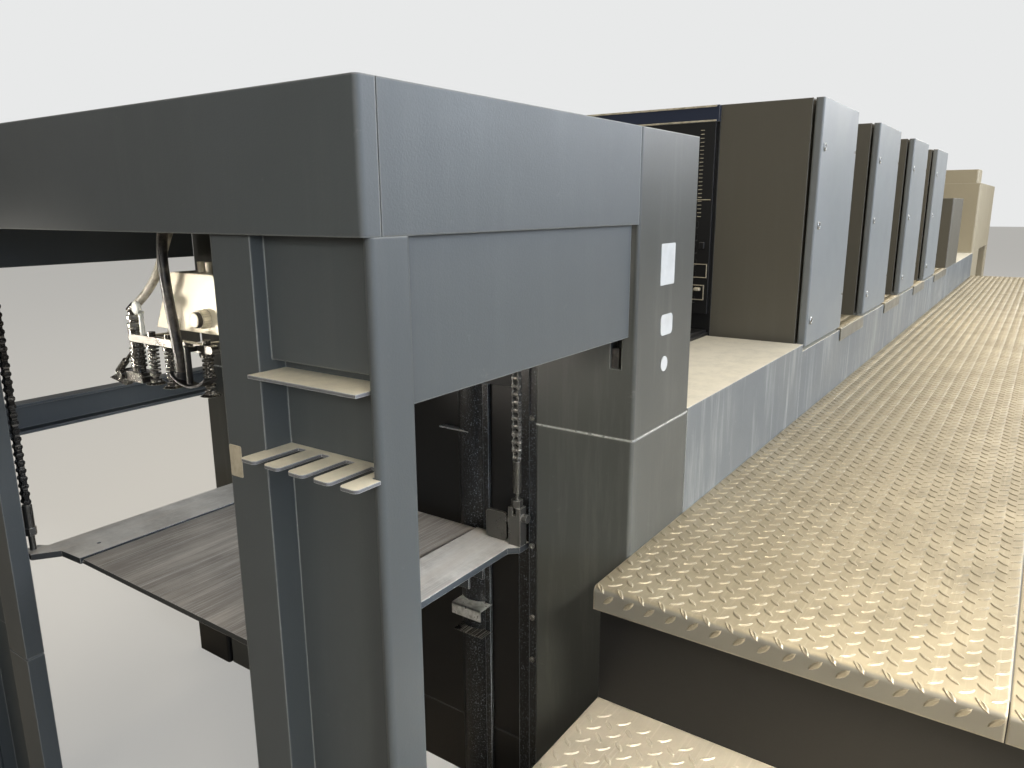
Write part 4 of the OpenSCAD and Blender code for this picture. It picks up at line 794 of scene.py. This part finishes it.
# Galleries
# Aluminium tread plate with rolled lens-shaped studs set crosswise, its front edge folded down
# round a bend. Feet polish the studs, whose rims are also painted bright as highlight, and the
# hollows between them keep the dirt.

# Rolled aluminium, trodden: a warm dull sheen that is dirty between the studs, its upright and folded
# faces painted darker as painted shade.
tread_aluminium = bare_steel("tread-plate aluminium", "#a39a82", "#c4bca6", rough=0.4, metallic=0.5,
                             scratch_mm=6.0, amount=0.2, side="#7d7a70", edge_mm=6.0)
# The studs' tops, polished by feet, with rims painted bright, partly polish and partly painted highlight.
stud_aluminium = bare_steel("rubbed stud aluminium", "#a59c85", "#d9d2bc", rough=0.38, metallic=0.5,
                            scratch_mm=5.0, amount=0.2, edge_mm=0.8)
# The same painted paler for the steps, partly as scrubbing by shoes and partly as painted light, with
# its upright faces painted darker as painted shade.
lit_step_aluminium = bare_steel("tread-plate aluminium, scrubbed and painted lit", "#ccc5b2", "#e6e0d0", rough=0.42,
                            metallic=0.3, scratch_mm=6.0, amount=0.2, side="#8b887e", edge_mm=6.0)
# Its studs, painted paler in the same way, partly scrubbing and partly painted light.
lit_step_stud = bare_steel("stud aluminium, scrubbed and painted lit", "#c8c1ae", "#dcd6c6", rough=0.46, metallic=0.3,
                       scratch_mm=5.0, amount=0.2, edge_mm=0.8)
finish(tread_aluminium, "drive_deck", "drive_deck_edge", "operator_deck", "unit_steps")
finish(lit_step_aluminium, "drive_steps", "operator_steps")
cell = 0.044
stud_len, stud_w, stud_h, stud_sunk = 0.032, 0.0115, 0.0022, 0.0002
bend_r, fold_deep = 0.012, 0.05
bend_len = bend_r * math.pi / 2
lens = [(-1, 0), (-0.62, -0.68), (0, -1), (0.62, -0.68), (1, 0), (0.62, 0.68), (0, 1), (-0.62, 0.68)]
across_stud = [(u, v, 0) for u, v in lens] + [(u * 0.8, v * 0.5, 1) for u, v in lens]
around = len(lens)
stud_faces = [(k, (k + 1) % around, around + (k + 1) % around, around + k) for k in range(around)]
stud_faces += [tuple(range(around, 2 * around)), tuple(range(around))[::-1]]


def on_tread(x0, top, s, y, h):
    """The place s along the plate from the end of its front bend, and down the bend and the fold
    where s is below 0. It stands h off the plate."""
    if s >= 0:
        return Vector((x0 + bend_r + s, y, top + h))
    if s > -bend_len:
        a = -s / bend_r
        out = bend_r + h
        return Vector((x0 + bend_r - out * math.sin(a), y, top - bend_r + out * math.cos(a)))
    return Vector((x0 - h, y, top - bend_r + bend_len + s))


def studs(name, fields, material=stud_aluminium):
    """Studs over plates given by their front edge, far end, side edges, top and folded depth."""
    points, faces = [], []
    for x0, x1, y0, y1, top, fold in fields:
        rows = int((x1 - x0 - bend_r) / (cell / 2)) - 1
        down = int(fold / (cell / 2)) if fold else 0
        columns = int((y1 - y0) / (cell / 2))
        shift = (y1 - y0 - (columns - 1) * cell / 2) / 2
        for j in range(-down, rows):
            for k in range(columns):
                if (j + k) % 2:
                    continue
                turn = math.radians(45 if j % 2 else -45)
                c, s = math.cos(turn), math.sin(turn)
                first = len(points)
                for u, v, w in across_stud:
                    du, dv = u * stud_len / 2, v * stud_w / 2
                    along = (j + 0.75) * cell / 2 + du * c - dv * s
                    y = y0 + shift + k * cell / 2 + du * s + dv * c
                    points.append(on_tread(x0, top, along, y, w * stud_h - stud_sunk))
                faces += [tuple(first + i for i in f) for f in stud_faces]
    piece = mesh_piece(name, points, faces)
    return dress(piece, material)


def plate_field(node):
    """The field of studs on one plate, from its node's box."""
    low, high = box_of(node)
    return (low[0], high[0], low[1], high[1], high[2], fold_deep)


studs("drive_deck_studs", [plate_field("drive_deck")])
studs("drive_edge_studs", [plate_field("drive_deck_edge")])
studs("operator_deck_studs", [plate_field("operator_deck")])
tread_run, tread_deep, tread_under, tread_rise = 0.310, 0.340, 0.030, 0.270
flights = []
for node in ("drive_steps", "operator_steps"):
    low, high = box_of(node)
    for i, (cut, drop) in enumerate(((tread_under, tread_rise), (0, 0))):
        x0 = low[0] + i * tread_run
        flights.append((x0, x0 + tread_deep - cut, low[1], high[1], high[2] - drop, fold_deep))
studs("step_studs", flights, lit_step_stud)
low, high = box_of("unit_steps")
walk, walk_side = 0.455, 0.401
treads = []
for i in range(4):
    x0 = low[0] + i * unit_pitch
    x1 = x0 + walk if i < 3 else high[0]
    for y0, y1 in ((low[1], -walk_side), (walk_side, high[1])):
        treads.append((x0 - bend_r, x1, y0, y1, high[2], 0))
studs("unit_step_studs", treads)
